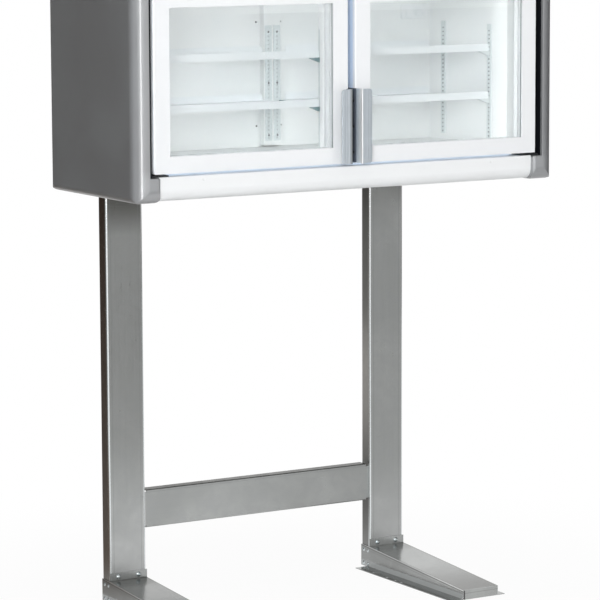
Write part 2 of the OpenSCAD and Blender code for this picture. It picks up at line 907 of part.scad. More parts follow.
// Plastic bushes in the door's hinge sockets
module hinge_bushes() {
    color("dimgray")
        for (z = [z_door, z_door_top - bush_l])
            translate([hx, hy, z])
                difference() {
                    cylinder(r = bush_r, h = bush_l);
                    translate([0, 0, -1]) cylinder(r = pin_r + pin_fit, h = bush_l + 2);
                }
}

module left_door_frame() {
    left_side() door_frame();
}

module left_outer_pane() {
    left_side() outer_pane();
}

module left_inner_pane() {
    left_side() inner_pane();
}

module left_pane_spacer() {
    left_side() pane_spacer();
}

module left_gasket() {
    left_side() gasket();
}

module left_handle() {
    left_side() handle();
}

module left_handle_screws() {
    left_side() handle_screws();
}

module left_hinge_bushes() {
    left_side() hinge_bushes();
}

module right_door_frame() {
    right_side() door_frame();
}

module right_outer_pane() {
    right_side() outer_pane();
}

module right_inner_pane() {
    right_side() inner_pane();
}

module right_pane_spacer() {
    right_side() pane_spacer();
}

module right_gasket() {
    right_side() gasket();
}

module right_handle() {
    right_side() handle();
}

module right_handle_screws() {
    right_side() handle_screws();
}

module right_hinge_bushes() {
    right_side() hinge_bushes();
}

// Front panel of the machine compartment with air slots and the controls' windows
module header_panel() {
    t = 2;
    rows = 10;
    pitch = (z_cover - z_head - 5.5) / 15;
    slot = pitch * 3 / 7;
    color("white")
        difference() {
            block([-x_case + fit, y_door, z_head + 0.5], [x_case - fit, y_jamb, z_cover]);
            block([-x_case - 1, y_door + t, z_head + 0.5 + t], [x_case + 1, y_jamb + 1, z_cover - t]);
            for (k = [0 : rows - 1], c = [0, 1, 2])
                along_y(y_door - 1, y_door + t + 1)
                    translate([cond_x[0] + c * 100, z_head + 2 + (2 + k) * pitch])
                        round_rect([-14, 0], [76, slot], [for (n = [1 : 4]) slot / 2]);
            translate([knob_x, y_door - 1, knob_z])
                rotate([-90, 0, 0]) cylinder(r = 6, h = t + 2);
            block([rocker_x - rocker_w / 2 - 1, y_door - 1, knob_z - rocker_h / 2 - 1],
                  [rocker_x + rocker_w / 2 + 1, y_door + t + 1, knob_z + rocker_h / 2 + 1]);
            block([ctrl_x[0] + 10, y_door - 1, knob_z - 14], [ctrl_x[0] + 64, y_door + t + 1, knob_z + 14]);
        }
}

// Sheet lid of the machine compartment
module top_cover() {
    t = sheet_t;
    color("gainsboro")
        difference() {
            block([-x_case + fit, y_door, z_cover], [x_case - fit, y_back, z_cover + t]);
            for (k = [0 : 9])
                block([cond_x[0] + 10 + 24 * k, fan_y - 20, z_cover - 1],
                      [cond_x[0] + 16 + 24 * k, fan_y + 110, z_cover + t + 1]);
        }
}

// Sealed compressor on its foot plate and rubber mounts, with its terminal box
module compressor() {
    foot = 14;
    color("black")
        translate([comp_x, comp_y, z_roof]) {
            for (sx = [-1, 1], sy = [-1, 1])
                translate([sx * (comp_r + 6), sy * (comp_r - 24), 0]) cylinder(r = 11, h = foot);
            block([-comp_r - 24, -comp_r + 8, foot], [comp_r + 24, comp_r - 8, foot + 3]);
            translate([0, 0, foot + 3]) {
                cylinder(r = comp_r, h = comp_h - 60);
                translate([0, 0, comp_h - 60]) cylinder(r1 = comp_r, r2 = comp_r - 12, h = 26);
                translate([0, 0, comp_h - 34]) cylinder(r1 = comp_r - 12, r2 = comp_r - 44, h = 18);
                block([-comp_r - 22, -28, 40], [-comp_r + 10, 28, 104]);
            }
        }
}

// A finned block: thin plates on straight tubes that join in bends at both ends.
// The lowest pair of tubes joins at x[first]
module finned_coil(x, y, z, rows, cols, fin_step, first) {
    w = x[1] - x[0];
    fins = floor((w - 20) / fin_step);
    tube_r = 4.5;
    step_y = (y[1] - y[0]) / cols;
    step_z = (z[1] - z[0]) / rows;
    for (k = [0 : fins])
        block([x[0] + 10 + k * fin_step, y[0], z[0]], [x[0] + 10.8 + k * fin_step, y[1], z[1]]);
    for (i = [0 : rows - 1], j = [0 : cols - 1])
        translate([x[0], y[0] + (j + 0.5) * step_y, z[0] + (i + 0.5) * step_z])
            rotate([0, 90, 0]) cylinder(r = tube_r, h = w, $fn = 24);
    for (i = [0 : rows - 2], j = [0 : cols - 1])
        translate([x[(i + first) % 2], y[0] + (j + 0.5) * step_y, z[0] + (i + 1) * step_z])
            rotate([90, 0, 0])
                rotate([0, 0, (i + first) % 2 == 0 ? 90 : -90])
                    rotate_extrude(angle = 180, $fn = 24)
                        translate([step_z / 2, 0]) circle(tube_r, $fn = 24);
}

// End plates of a coil, which stand on the cabinet's roof
module coil_plates(x, y, top) {
    t = 1.5;
    block([x[0], y[0], z_roof], [x[0] + t, y[1], top]);
    block([x[1] - t, y[0], z_roof], [x[1], y[1], top]);
}

module condenser_coil() {
    color("darkslategray") {
        finned_coil(cond_x, cond_y, cond_z, cond_rows, 1, 13, 1);
        coil_plates(cond_x, cond_y, cond_z[1]);
    }
}

// Height of a row of a coil's tubes
function row_z(z, rows, i) = z[0] + (i + 0.5) * (z[1] - z[0]) / rows;

// Cold coil, its three circuits joined by a header tube at either end
module evaporator_coil() {
    color("silver") {
        finned_coil(coil_x, coil_y, coil_z, coil_rows, 3, 15, 0);
        coil_plates(coil_x, coil_y, coil_z[1]);
        for (i = [0, coil_rows - 1])
            translate([coil_x[1] + 3, coil_y[0] + 25, row_z(coil_z, coil_rows, i)])
                rotate([-90, 0, 0]) cylinder(r = 6, h = coil_y[1] - coil_y[0] - 50, $fn = 24);
    }
}

// A small axial fan about Z: hub, shaft bore side down, and pitched blades
module fan_wheel(r, hub_r, hub_h, blades, shaft_r) {
    difference() {
        union() {
            cylinder(r = hub_r, h = hub_h);
            for (k = [0 : blades - 1])
                rotate([0, 0, k * 360 / blades])
                    translate([hub_r - 3, 0, hub_h / 2])
                        rotate([28, 0, 0])
                            translate([0, -r * 0.26, -0.8]) cube([r - hub_r + 1, r * 0.52, 1.6]);
        }
        translate([0, 0, -1]) cylinder(r = shaft_r, h = hub_h - 3);
    }
}

// The motor's shaft and body lie on -Z below the fan
module fan_motor(r, h, shaft_r, shaft_l) {
    translate([0, 0, -h]) cylinder(r = r, h = h);
    cylinder(r = shaft_r, h = shaft_l);
}

module condenser_fan() {
    color("dimgray")
        translate([cond_fan_x, cond_fan_y + 10, cond_fan_z])
            rotate([90, 0, 0]) fan_wheel(cond_fan_r, 24, 20, 5, 3 + pin_fit);
}

// Motor with its arms, on the shroud plate behind the condenser
module condenser_motor() {
    gap = 4;
    motor = cond_fan_y + 10 + gap;
    color("gray")
        union() {
            difference() {
                block([cond_x[0], shroud_y, z_roof], [cond_x[1], shroud_y + 2, cond_z[1]]);
                translate([cond_fan_x, shroud_y - 1, cond_fan_z])
                    rotate([-90, 0, 0]) cylinder(r = cond_fan_r + 5, h = 4);
            }
            translate([cond_fan_x, motor, cond_fan_z])
                rotate([90, 0, 0]) fan_motor(30, 50, 3, gap + 14);
            for (s = [-1, 1]) {
                block([cond_fan_x + s * arm_x - 6, shroud_y + 1, cond_fan_z - 8],
                      [cond_fan_x + s * arm_x + 6, motor + 24, cond_fan_z + 8]);
                block([cond_fan_x + min(0, s * (arm_x + 6)), motor + 20, cond_fan_z - 8],
                      [cond_fan_x + max(0, s * (arm_x + 6)), motor + 24, cond_fan_z + 8]);
            }
        }
}

// Foamed box over the ports that holds the evaporator and its fan
module evaporator_box() {
    w = box_wall;
    color("whitesmoke")
        difference() {
            block([box_x[0], box_y[0], z_roof], [box_x[1], box_y[1], box_top]);
            block([box_x[0] + w, box_y[0] + w, z_roof - 1],
                  [box_x[1] - w, box_y[1] - w, box_top - w]);
            translate([box_x[1] - w - 1, fan_y + 66, pipe_hole_z])
                rotate([0, 90, 0]) cylinder(r = pipe_hole_r, h = w + 2);
        }
}

module evaporator_fan() {
    color("dimgray")
        translate([fan_x, fan_y, z_roof + 32])
            rotate([180, 0, 0]) fan_wheel(fan_r, 20, 18, 5, 2.5 + pin_fit);
}

// Motor that hangs from a bridge over the evaporator fan
module evaporator_motor() {
    base = z_roof + 36;
    color("gray")
        union() {
            translate([fan_x, fan_y, base])
                rotate([180, 0, 0]) fan_motor(26, 42, 2.5, 14);
            block([fan_x - 12, fan_y - 90, base + 38], [fan_x + 12, fan_y + 90, base + 42]);
            for (s = [-1, 1])
                block([fan_x - 12, fan_y + s * 88 - 2, z_roof],
                      [fan_x + 12, fan_y + s * 88 + 2, base + 42]);
        }
}

// A pipe through the points of a list, with a soldered elbow at each
module pipe(points, r) {
    for (k = [0 : len(points) - 2]) {
        d = points[k + 1] - points[k];
        translate(points[k])
            rotate([0, acos(d[2] / norm(d)), atan2(d[1], d[0])])
                cylinder(r = r, h = norm(d), $fn = 24);
    }
    for (k = [1 : len(points) - 2])
        translate(points[k]) sphere(r + 0.8, $fn = 24);
}

// Discharge, liquid and suction pipe between the compressor and the two coils
module refrigerant_pipes() {
    r = 3.5;
    thin = 2.5;
    shell_z = z_roof + 60 * bay;
    back_y = comp_y + comp_r + 24;
    cond_mid = (cond_y[0] + cond_y[1]) / 2;
    hot = row_z(cond_z, cond_rows, cond_rows - 1);
    warm = row_z(cond_z, cond_rows, 0);
    feed = row_z(coil_z, coil_rows, coil_rows - 1);
    cold = row_z(coil_z, coil_rows, 0);
    side = cond_x[0] - 30;
    coil_end = coil_x[1] + 9.2;
    run_y = fan_y + 66;
    low_z = pipe_hole_z - 6;
    color("peru") {
        pipe([[comp_x, comp_y - comp_r - fit, shell_z], [comp_x, cond_mid, shell_z],
              [comp_x, cond_mid, hot], [cond_x[1] + 0.2, cond_mid, hot]], r);
        pipe([[cond_x[0] - 0.2, cond_mid, warm], [side, cond_mid, warm],
              [side, cond_mid, feed], [side, run_y, feed], [coil_end, run_y, feed]], thin);
        pipe([[comp_x, comp_y + comp_r + fit, shell_z], [comp_x, back_y, shell_z],
              [comp_x, back_y, low_z], [side + 14, back_y, low_z],
              [side + 14, run_y, low_z], [coil_end + 14, run_y, low_z],
              [coil_end + 14, run_y, cold], [coil_end, run_y, cold]], r);
    }
}

// Box of the controls: display, lamp switch seat and thermostat bush
module control_box() {
    cheek = rocker_w / 2 + 0.5;
    ry = y_door + 6;
    color("black")
        difference() {
            union() {
                block([ctrl_x[0], ctrl_y[0], ctrl_z[0]], [ctrl_x[1], ctrl_y[1], ctrl_z[1]]);
                block([ctrl_x[0] + 10.3, y_door - 0.5, knob_z - 13.7],
                      [ctrl_x[0] + 63.7, ctrl_y[0] + 1, knob_z + 13.7]);
            }
            block([rocker_x - cheek, ctrl_y[0] - 1, knob_z - rocker_h / 2 - 1],
                  [rocker_x + cheek, y_door + 22, knob_z + rocker_h / 2 + 1]);
            translate([rocker_x - cheek - 3, ry, knob_z])
                rotate([0, 90, 0]) cylinder(r = 1.5 + pin_fit, h = 2 * cheek + 6);
            translate([knob_x, ctrl_y[0] - 1, knob_z])
                rotate([-90, 0, 0]) cylinder(r = 3 + pin_fit, h = 26);
        }
}

// Knob before the panel, its shaft in the control box's bush
module thermostat_knob() {
    skirt = 3;
    color("dimgray")
        translate([knob_x, 0, knob_z])
            rotate([90, 0, 0]) {
                translate([0, 0, -y_door + 0.5]) cylinder(r = knob_r, h = skirt);
                translate([0, 0, -y_door + 0.5 + skirt]) cylinder(r = knob_r - 4, h = 8);
                block([-2.5, -knob_r + 1, -y_door + 0.5 + skirt], [2.5, knob_r - 1, -y_door + 14]);
                translate([0, 0, -y_door - 22]) cylinder(r = 3, h = 23);
            }
}

// Rocker in the position "on": a shallow V front that turns on a cross pin
module lamp_switch() {
    ry = y_door + 6;
    v = tan(rocker_tilt) * rocker_h / 2;
    color("dimgray")
        translate([rocker_x, ry, knob_z])
            rotate([-rocker_tilt, 0, 0])
                union() {
                    along_x(-rocker_w / 2, rocker_w / 2)
                        polygon([[-7.5 - v, -rocker_h / 2], [-7.5, 0], [-7.5 - v, rocker_h / 2],
                                 [0, rocker_h / 2 - 1], [6, 4], [6, -4], [0, -rocker_h / 2 + 1]]);
                    translate([-rocker_w / 2 - 2.5, 0, 0])
                        rotate([0, 90, 0]) cylinder(r = 1.5, h = rocker_w + 5);
                }
}

// Appliance inlet: a flanged housing on the back panel, three pins in its recess
module power_inlet() {
    w = inlet_w / 2;
    h = inlet_h / 2;
    deep = 22;
    color("black")
        translate([inlet_x, y_back, inlet_z])
            difference() {
                union() {
                    along_y(0, 2.5)
                        round_rect([-w - 10, -h - 4], [w + 10, h + 4], [4, 4, 4, 4]);
                    block([-w, 0, -h], [w, deep, h]);
                    block([-9, -8, -6], [9, 1, 6]);
                    for (x = [-5.5, 0, 5.5])
                        block([x - 2, -14, -1], [x + 2, -7, 1]);
                }
                difference() {
                    block([-w + 2, 3, -h + 2], [w - 2, deep + 1, h - 2]);
                    for (x = [-7, 0, 7])
                        block([x - 1, 0, -5], [x + 1, deep - 5, -1]);
                }
            }
}

left_upright();
right_upright();
crossbar();
left_foot();
right_foot();
foot_rivets();
stand_bolts();
mount_brackets();
outer_casing();
back_panel();
insulation();
inner_liner();
breaker_frame();
centre_mullion();
left_end_cap();
right_end_cap();
bottom_rail();
top_rail();
rail_plugs();
rear_channel();
shelf_standards();
shelf_clips();
left_lower_shelf();
left_upper_shelf();
right_lower_shelf();
right_upper_shelf();
ceiling_grille();
led_strips();
hinge_brackets();
left_door_frame();
left_outer_pane();
left_inner_pane();
left_pane_spacer();
left_gasket();
left_handle();
left_handle_screws();
left_hinge_bushes();
right_door_frame();
right_outer_pane();
right_inner_pane();
right_pane_spacer();
right_gasket();
right_handle();
right_handle_screws();
right_hinge_bushes();
header_panel();
top_cover();
compressor();
condenser_coil();
condenser_fan();
condenser_motor();
evaporator_box();
evaporator_coil();
evaporator_fan();
evaporator_motor();
refrigerant_pipes();
control_box();
thermostat_knob();
lamp_switch();
power_inlet();
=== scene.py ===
"""Looks of a two-door glass-front display freezer that hangs on a tall sheet-steel stand.

Metres, +Z up, the glass doors look along -Y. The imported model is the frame; pieces that the solids can't show
(ribbed pulls, bellows gaskets, cross-slot screws, the bare data plate) are surfaces worked out with numpy."""
import json
import math

import bpy
import numpy as np
from mathutils import Matrix, Vector


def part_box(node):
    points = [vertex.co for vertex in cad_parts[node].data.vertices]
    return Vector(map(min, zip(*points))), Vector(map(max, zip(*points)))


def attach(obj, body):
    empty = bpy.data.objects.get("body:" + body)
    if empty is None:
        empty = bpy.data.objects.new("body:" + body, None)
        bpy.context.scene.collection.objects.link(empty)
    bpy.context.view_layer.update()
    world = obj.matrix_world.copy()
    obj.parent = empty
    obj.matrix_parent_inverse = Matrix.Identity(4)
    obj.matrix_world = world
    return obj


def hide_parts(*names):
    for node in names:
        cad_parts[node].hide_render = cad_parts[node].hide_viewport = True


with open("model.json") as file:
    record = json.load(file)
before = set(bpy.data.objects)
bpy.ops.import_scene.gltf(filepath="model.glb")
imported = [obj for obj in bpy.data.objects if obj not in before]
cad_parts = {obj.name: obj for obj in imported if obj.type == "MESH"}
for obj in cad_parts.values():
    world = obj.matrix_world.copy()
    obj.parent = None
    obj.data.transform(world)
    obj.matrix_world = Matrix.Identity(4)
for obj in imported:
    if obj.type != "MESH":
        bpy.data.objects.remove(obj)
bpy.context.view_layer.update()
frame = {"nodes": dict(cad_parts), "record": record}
NODES = frame["nodes"]
SLOT_OF = {s["node"]: s["material_slot"] for s in frame["record"]["subparts"]}


# ---------------------------------------------------------------- node trees

class Value:
    """What a node gives. + - * ** and abs() add Math nodes, and | gives the greater of two."""

    def __init__(self, net, socket):
        self.net, self.socket = net, socket

    def __add__(self, other):
        return self.net.math("ADD", self, other)

    def __sub__(self, other):
        return self.net.math("SUBTRACT", self, other)

    def __rsub__(self, other):
        return self.net.math("SUBTRACT", other, self)

    def __mul__(self, other):
        return self.net.math("MULTIPLY", self, other)

    def __pow__(self, other):
        return self.net.math("POWER", self, other)

    def __or__(self, other):
        return self.net.math("MAXIMUM", self, other)

    def __abs__(self):
        return self.net.math("ABSOLUTE", self)

    def root(self):
        return self.net.math("SQRT", self)

    def ramp(self, a, b, c=0.0, d=1.0, kind="LINEAR"):
        """From the range a..b to the range c..d, kept inside it."""
        n = self.net.add("ShaderNodeMapRange", {"interpolation_type": kind, "clamp": True},
                         {"Value": self, "From Min": a, "From Max": b, "To Min": c, "To Max": d})
        return Value(self.net, n.outputs["Result"])

    def ease(self, a, b, c=0.0, d=1.0):
        """The same with a soft start and end."""
        return self.ramp(a, b, c, d, "SMOOTHSTEP")

    def until(self, a, b):
        """1 up to a, 0 from b on."""
        return self.ramp(a, b, 1.0, 0.0)

    def to(self, c, d):
        """A mask's 0 becomes c and its 1 becomes d."""
        return self.ramp(0.0, 1.0, c, d)

    def near(self, middle, inner, outer, peak=1.0):
        """peak within inner of middle, 0 from outer on."""
        return abs(self - middle).ramp(inner, outer, peak, 0.0)

    def blend(self, a, b):
        """Colour or value a goes over to b where this mask is 1."""
        return Value(self.net, self.net.add("ShaderNodeMix", {"data_type": "RGBA"}, {0: self, 6: a, 7: b}).outputs[2])


class Net:
    """Short ways to add and join nodes in one node tree, and the tree's output node."""

    def __init__(self, tree, output=None):
        self.tree = tree
        self.output = output and tree.nodes.new(output)

    def add(self, kind, props=None, feeds=None):
        """A node of that kind with its settings and its inputs, constants or values."""
        n = self.tree.nodes.new(kind)
        for key, value in (props or {}).items():
            setattr(n, key, value)
        for key, value in (feeds or {}).items():
            self.feed(n.inputs[key], value)
        return n

    def feed(self, socket, value):
        """A value or a constant goes into a socket; a constant colour gets its alpha here."""
        if isinstance(value, Value):
            self.tree.links.new(value.socket, socket)
        elif socket.type == "RGBA":
            socket.default_value = (*value, 1.0)
        else:
            socket.default_value = value

    def value(self, kind, props, feeds, out=0):
        """One output of a new node."""
        return Value(self, self.add(kind, props, feeds).outputs[out])

    def math(self, op, a, b=0.0):
        return self.value("ShaderNodeMath", {"operation": op}, {0: a, 1: b})

    def scaled(self, vector, by):
        """A vector times another, axis by axis."""
        return self.value("ShaderNodeVectorMath", {"operation": "MULTIPLY"}, {0: vector, 1: by})

    def noise(self, vector, scale, detail=3.0, rough=0.5, distort=0.0):
        return self.value("ShaderNodeTexNoise", None, {"Vector": vector, "Scale": scale, "Detail": detail,
                                                       "Roughness": rough, "Distortion": distort}, "Fac")

    def shared(self, tree, **values):
        """A shared effect placed here on the material's coordinates, with its own value."""
        return self.value("ShaderNodeGroup", {"node_tree": tree}, {"Vector": self.at, **values})

    def rubbed(self, color, radius, amount, bare):
        """A colour whose edges are rubbed to a bare one; radius is how wide."""
        return (self.shared(EDGE_WEAR, Radius=radius) * amount).blend(color, bare)

    def axes(self, vector):
        """x, y and z of a vector."""
        return [Value(self, s) for s in self.add("ShaderNodeSeparateXYZ", None, {0: vector}).outputs]

    def place(self):
        """x, y and z of the material's coordinates."""
        return self.axes(self.at)

    def normal(self):
        """The face's true normal."""
        return self.value("ShaderNodeNewGeometry", None, None, "Normal")

    def rays(self):
        """What kind of ray asks, by the names of the Light Path node's outputs."""
        return {s.name: Value(self, s) for s in self.add("ShaderNodeLightPath").outputs}

    def emission(self, color):
        return self.value("ShaderNodeEmission", None, {"Color": color, "Strength": 1.0})

    def both(self, mask, a, b):
        """Shader a goes over to shader b where the mask is 1."""
        return self.value("ShaderNodeMixShader", None, {0: mask, 1: a, 2: b})

    def surface(self, shader):
        """The tree's output shows this shader."""
        self.feed(self.output.inputs["Surface"], shader)


def effect(name, out, **inputs):
    """Makes a node group of the function under it, which builds one value from coordinates and these inputs."""
    def make(build):
        tree = bpy.data.node_groups.new(name, "ShaderNodeTree")
        tree.interface.new_socket("Vector", in_out="INPUT", socket_type="NodeSocketVector")
        for key, first in inputs.items():
            kind = "NodeSocketVector" if isinstance(first, tuple) else "NodeSocketFloat"
            tree.interface.new_socket(key, in_out="INPUT", socket_type=kind).default_value = first
        tree.interface.new_socket(out, in_out="OUTPUT", socket_type="NodeSocketFloat")
        net = Net(tree, "NodeGroupOutput")
        given = tree.nodes.new("NodeGroupInput").outputs
        net.feed(net.output.inputs[out], build(net, *[Value(net, given[k]) for k in ("Vector", *inputs)]))
        return tree
    return make


@effect("Rolling_grain", "Value", Stretch=(600.0, 600.0, 8.0))
def ROLLING_GRAIN(net, at, stretch):
    """Noise on coordinates stretched by a vector: long fine lines of a rolled or brushed sheet."""
    fine = net.noise(net.scaled(at, stretch), 1.0, 4.0, 0.65)
    coarse = net.noise(net.scaled(at, stretch), 0.23, 2.0, 0.5)
    return (fine * 0.65 + coarse * 0.35).ramp(0.3, 0.7)


@effect("Mottle", "Value", Scale=5.0)
def MOTTLE(net, at, scale):
    """Slow noise, once bent by itself, from 0 to 1: uneven zinc, thin paint, moulding flow."""
    return net.noise(at, scale, 3.0, 0.55, 0.8).ease(0.32, 0.68)


@effect("Edge_wear", "Mask", Radius=0.002)
def EDGE_WEAR(net, at, radius):
    """Where a normal rounded over a small radius leaves the true one, broken up by noise."""
    soft = net.value("ShaderNodeBevel", {"samples": 4}, {"Radius": radius})
    off = 1.0 - net.value("ShaderNodeVectorMath", {"operation": "DOT_PRODUCT"}, {0: soft, 1: net.normal()}, "Value")
    return off.ramp(0.02, 0.22) * net.noise(at, 90.0, 3.0, 0.6).ramp(0.35, 0.7, 0.25, 1.0)


@effect("Hair_scratches", "Mask")
def HAIR_SCRATCHES(net, at):
    """Contour lines of a strongly stretched noise, shown only in scattered spots."""
    lines = []
    for turn, seed in ((0.5, 0.0), (-0.9, 7.3)):
        moved = net.value("ShaderNodeMapping", None,
                          {"Vector": at, "Location": (seed, seed, 0.0), "Rotation": (0.3, turn, turn),
                           "Scale": (9.0, 150.0, 150.0)})
        line = net.noise(moved, 1.0, 0.0, 0.5).near(0.5, 0.002, 0.006)
        lines.append(line * net.noise(at, 11.0 + seed, 1.0).ramp(0.62, 0.7))
    return lines[0] | lines[1]


@effect("Orange_peel", "Height", Scale=300.0)
def ORANGE_PEEL(net, at, scale):
    """Two soft noises, one four times finer: the skin of sprayed paint or of a moulding."""
    return net.noise(at, scale, 1.0, 0.4) * 0.75 + net.noise(at, scale * 4.0, 1.0, 0.4) * 0.25


@effect("Dust", "Mask")
def DUST(net, at):
    """Faces that look up gather a thin uneven film."""
    up = net.axes(net.normal())[2]
    return up.ramp(0.55, 0.95) * net.noise(at, 34.0, 4.0, 0.6).ramp(0.35, 0.65)


# ---------------------------------------------------------------- finishes

def cleared(owner, output):
    """The net of a material or world, with nothing but this output."""
    owner.use_nodes = True
    owner.node_tree.nodes.clear()
    return Net(owner.node_tree, output)


def finish(build):
    """Makes a finish of the function under it: called with a name first, it gives a new material of that name.

    net.at is the Object coordinates, in metres."""
    def make(name, *args, **more):
        made = bpy.data.materials.new(name)
        net = cleared(made, "ShaderNodeOutputMaterial")
        net.at = net.value("ShaderNodeTexCoord", None, None, "Object")
        build(net, *args, **more)
        return made
    return make


def rgb(r, g, b, by=0):
    """A colour given by its sRGB numbers of 255, each raised by a step, as linear values."""
    parts = [min(255, c + by) / 255 for c in (r, g, b)]
    return tuple(c / 12.92 if c <= 0.04045 else ((c + 0.055) / 1.055) ** 2.4 for c in parts)


def principled(net, color, rough, metallic=0.0, height=None, bump=0.0005, **more):
    """The surface shader, with any more of its sockets written with _ for a space."""
    feeds = {"Base Color": color, "Roughness": rough, "Metallic": metallic,
             **{key.replace("_", " "): value for key, value in more.items()}}
    if height is not None:
        feeds["Normal"] = net.value("ShaderNodeBump", None, {"Height": height, "Distance": bump, "Strength": 1.0})
    shader = net.value("ShaderNodeBsdfPrincipled", None, feeds)
    net.surface(shader)
    return shader


# places on the object, in metres
UPRIGHT_X = 0.390                # middle of an upright and of its foot, each side of the object's middle
RIGHT_CORNER_X = 0.3380          # inner corner of the right upright
LEFT_SIDE_X = -0.4411            # outer side of the left upright
FOOT_HALF = 0.0536               # outer face of a foot's side plates, from its middle
FOOT_END = -0.2265               # y of its front end
FOOT_TOP = (0.06935, 0.04071)    # its sloping top: the rise per metre of y, and the height at y 0
HOLES_X, HOLES_Y = 0.0836, (0.1505, 0.0855, 0.0445, 0.0165)    # holes of its inner flange
BAR_TOP, BAR_END = 0.2790, -0.3345                             # the crossbar's upper edge and left bend
RAIL_TOP = 1.127                 # under the doors
PULL_LOW, PULL_TOP = 1.1348, 1.3160
PULL_FACE = -0.2572              # y where a pull's leg runs over into its bend
STRIP_LOW, STRIP_TOP = 1.163, 1.455
STRIP_YS = (-0.1085, 0.1015)     # lines of slots on the side walls
BACK_SLOT_X = 0.0125             # and on the back channel, each side of its middle
LAMP_PITCH = 0.0165              # from lamp to lamp of a light strip
LAMP_GLOW = 0.6
OPENING_Z = 1.347                # half the height of the doors' opening

# stretch of a sheet's grain along each axis
ALONG_X, ALONG_Y, ALONG_Z = (9.0, 700.0, 700.0), (700.0, 9.0, 700.0), (700.0, 700.0, 9.0)


@finish
def stand_steel(net, along, flow=6.0, dull=None, dark=0.26, light=None, tint=None, marks=None, wear=0.6,
                bends=None, film=None, hollow_shade=None, even=1.0):
    """Bare galvanised sheet: grain along the piece, slow blotches, rubbed edges, polished bends, hair scratches.

    The optional functions of x, y and z give masks: dull is painted shade and dark is how dark it is, light is
    painted light, thin brake lines, the polished zinc of a bend with a painted highlight that brightens towards the
    top, a dry film without shine, and painted black shade in hollows. tint lays painted light and shade over the
    colour.
    even scales the roughness."""
    place = net.place()
    grain = net.shared(ROLLING_GRAIN, Stretch=along)
    blotch = net.shared(MOTTLE, Scale=flow)
    small = net.shared(MOTTLE, Scale=flow * 9.0)
    color = blotch.blend((0.45, 0.465, 0.455), (0.53, 0.545, 0.535))
    color = (small * 0.35).blend(color, (0.44, 0.45, 0.46))
    color = (grain * 0.25).blend(color, (0.60, 0.61, 0.61))
    # Painted shade: the dull mask darkens the colour where shade or a dark reflection falls.
    if dull:
        color = dull(*place).blend(color, (dark, dark * 0.99, dark * 0.92))
    # Painted light: the light mask brightens the colour.
    if light:
        color = light(*place).blend(color, (0.72, 0.73, 0.73))
    # Painted light and shade laid over the colour.
    if tint:
        color = tint(color, *place)
    if marks:
        color = (marks(*place) * 0.4).blend(color, (0.3, 0.31, 0.31))
    color = net.rubbed(color, 0.0016, wear, (0.82, 0.83, 0.84))
    color = (net.shared(HAIR_SCRATCHES) * 0.5).blend(color, (0.35, 0.36, 0.36))
    rough = blotch.to(0.30 * even, 0.24 * even) + grain * (0.10 * even) + small * (0.05 * even)
    metal = 0.96
    # Bends: polished zinc, with a painted highlight that grows brighter towards the top.
    if bends:
        bend, high = bends(*place), place[2].ease(0.55, 0.95)
        color = bend.blend(color, high.blend((0.82, 0.86, 0.865), (0.96, 0.985, 0.985)))
        rough = bend.blend(rough, high.to(0.17, 0.08))
    if film:
        dry = film(*place)
        color = dry.blend(color, (0.56, 0.58, 0.58))
        metal = dry.to(metal, 0.0)
    # Painted shade: black inside closed hollows.
    if hollow_shade:
        color = hollow_shade(*place).blend(color, (0.012,) * 3)
    waves = net.noise(net.scaled(net.at, (5.0, 5.0, 1.8)), 1.0, 1.0)
    principled(net, color, rough, metal, grain * 0.012 + waves)


def upright_marks(x, y, z):
    """Two thin lines 12 mm in from the edges of an upright's face."""
    return abs(abs(x) - UPRIGHT_X).near(0.0395, 0.0003, 0.0012)


def upright_bends(x, y, z):
    """The rounded front corners of an upright, 51.5 mm from its middle line."""
    return abs(abs(x) - UPRIGHT_X).ramp(0.0462, 0.0480) * y.until(0.2262, 0.2290)


def upright_top_shade(x, y, z):
    """Painted shade: darker under the cabinet, fading down over a fifth of a metre; the left upright is painted
    darker from its root up.
    """
    left = (z.ease(0.24, 0.46, 0.0, 0.29) | z.ease(0.88, 1.04)) * x.until(-0.01, 0.01)
    return z.ease(0.90, 1.07, 0.0, 0.55) | left


def upright_root_light(x, y, z):
    """Painted light: brighter just over the feet."""
    return z.ease(0.30, 0.09, 0.0, 0.42)


def upright_painted_tones(color, x, y, z):
    """Painted reflection and shade: the left upright's outer side is painted brown towards the cabinet. The right
    one's inner corner gets a painted pale highlight line about half a metre up, and a painted grey shade line over
    the foot."""
    side = x.until(LEFT_SIDE_X, LEFT_SIDE_X + 0.0004) * z.ease(0.10, 0.95, 0.0, 0.92)
    color = side.blend(color, (0.33, 0.25, 0.21))
    corner = x.near(RIGHT_CORNER_X, 0.0008, 0.0012) * 0.85
    color = (corner * abs(z - 0.50).ease(0.05, 0.24, 1.0, 0.0)).blend(color, (0.80, 0.81, 0.80))
    return (corner * z.ease(0.20, 0.27, 1.0, 0.0)).blend(color, (0.33, 0.33, 0.325))


def from_foot_middle(x):
    """How far a point lies outwards from its foot's middle plane."""
    return abs(x) - UPRIGHT_X


def foot_side(x):
    """1 on a foot's side plates and outside them."""
    return abs(from_foot_middle(x)).ramp(FOOT_HALF - 0.0002, FOOT_HALF - 0.0001)


def foot_flange(x):
    """1 on the floor flanges, outside the side plates."""
    return abs(from_foot_middle(x)).ramp(FOOT_HALF + 0.0001, FOOT_HALF + 0.0002)


def under_foot_top(y, z):
    """How far a point lies under the plane of a foot's sloping top."""
    return y * FOOT_TOP[0] + FOOT_TOP[1] - z


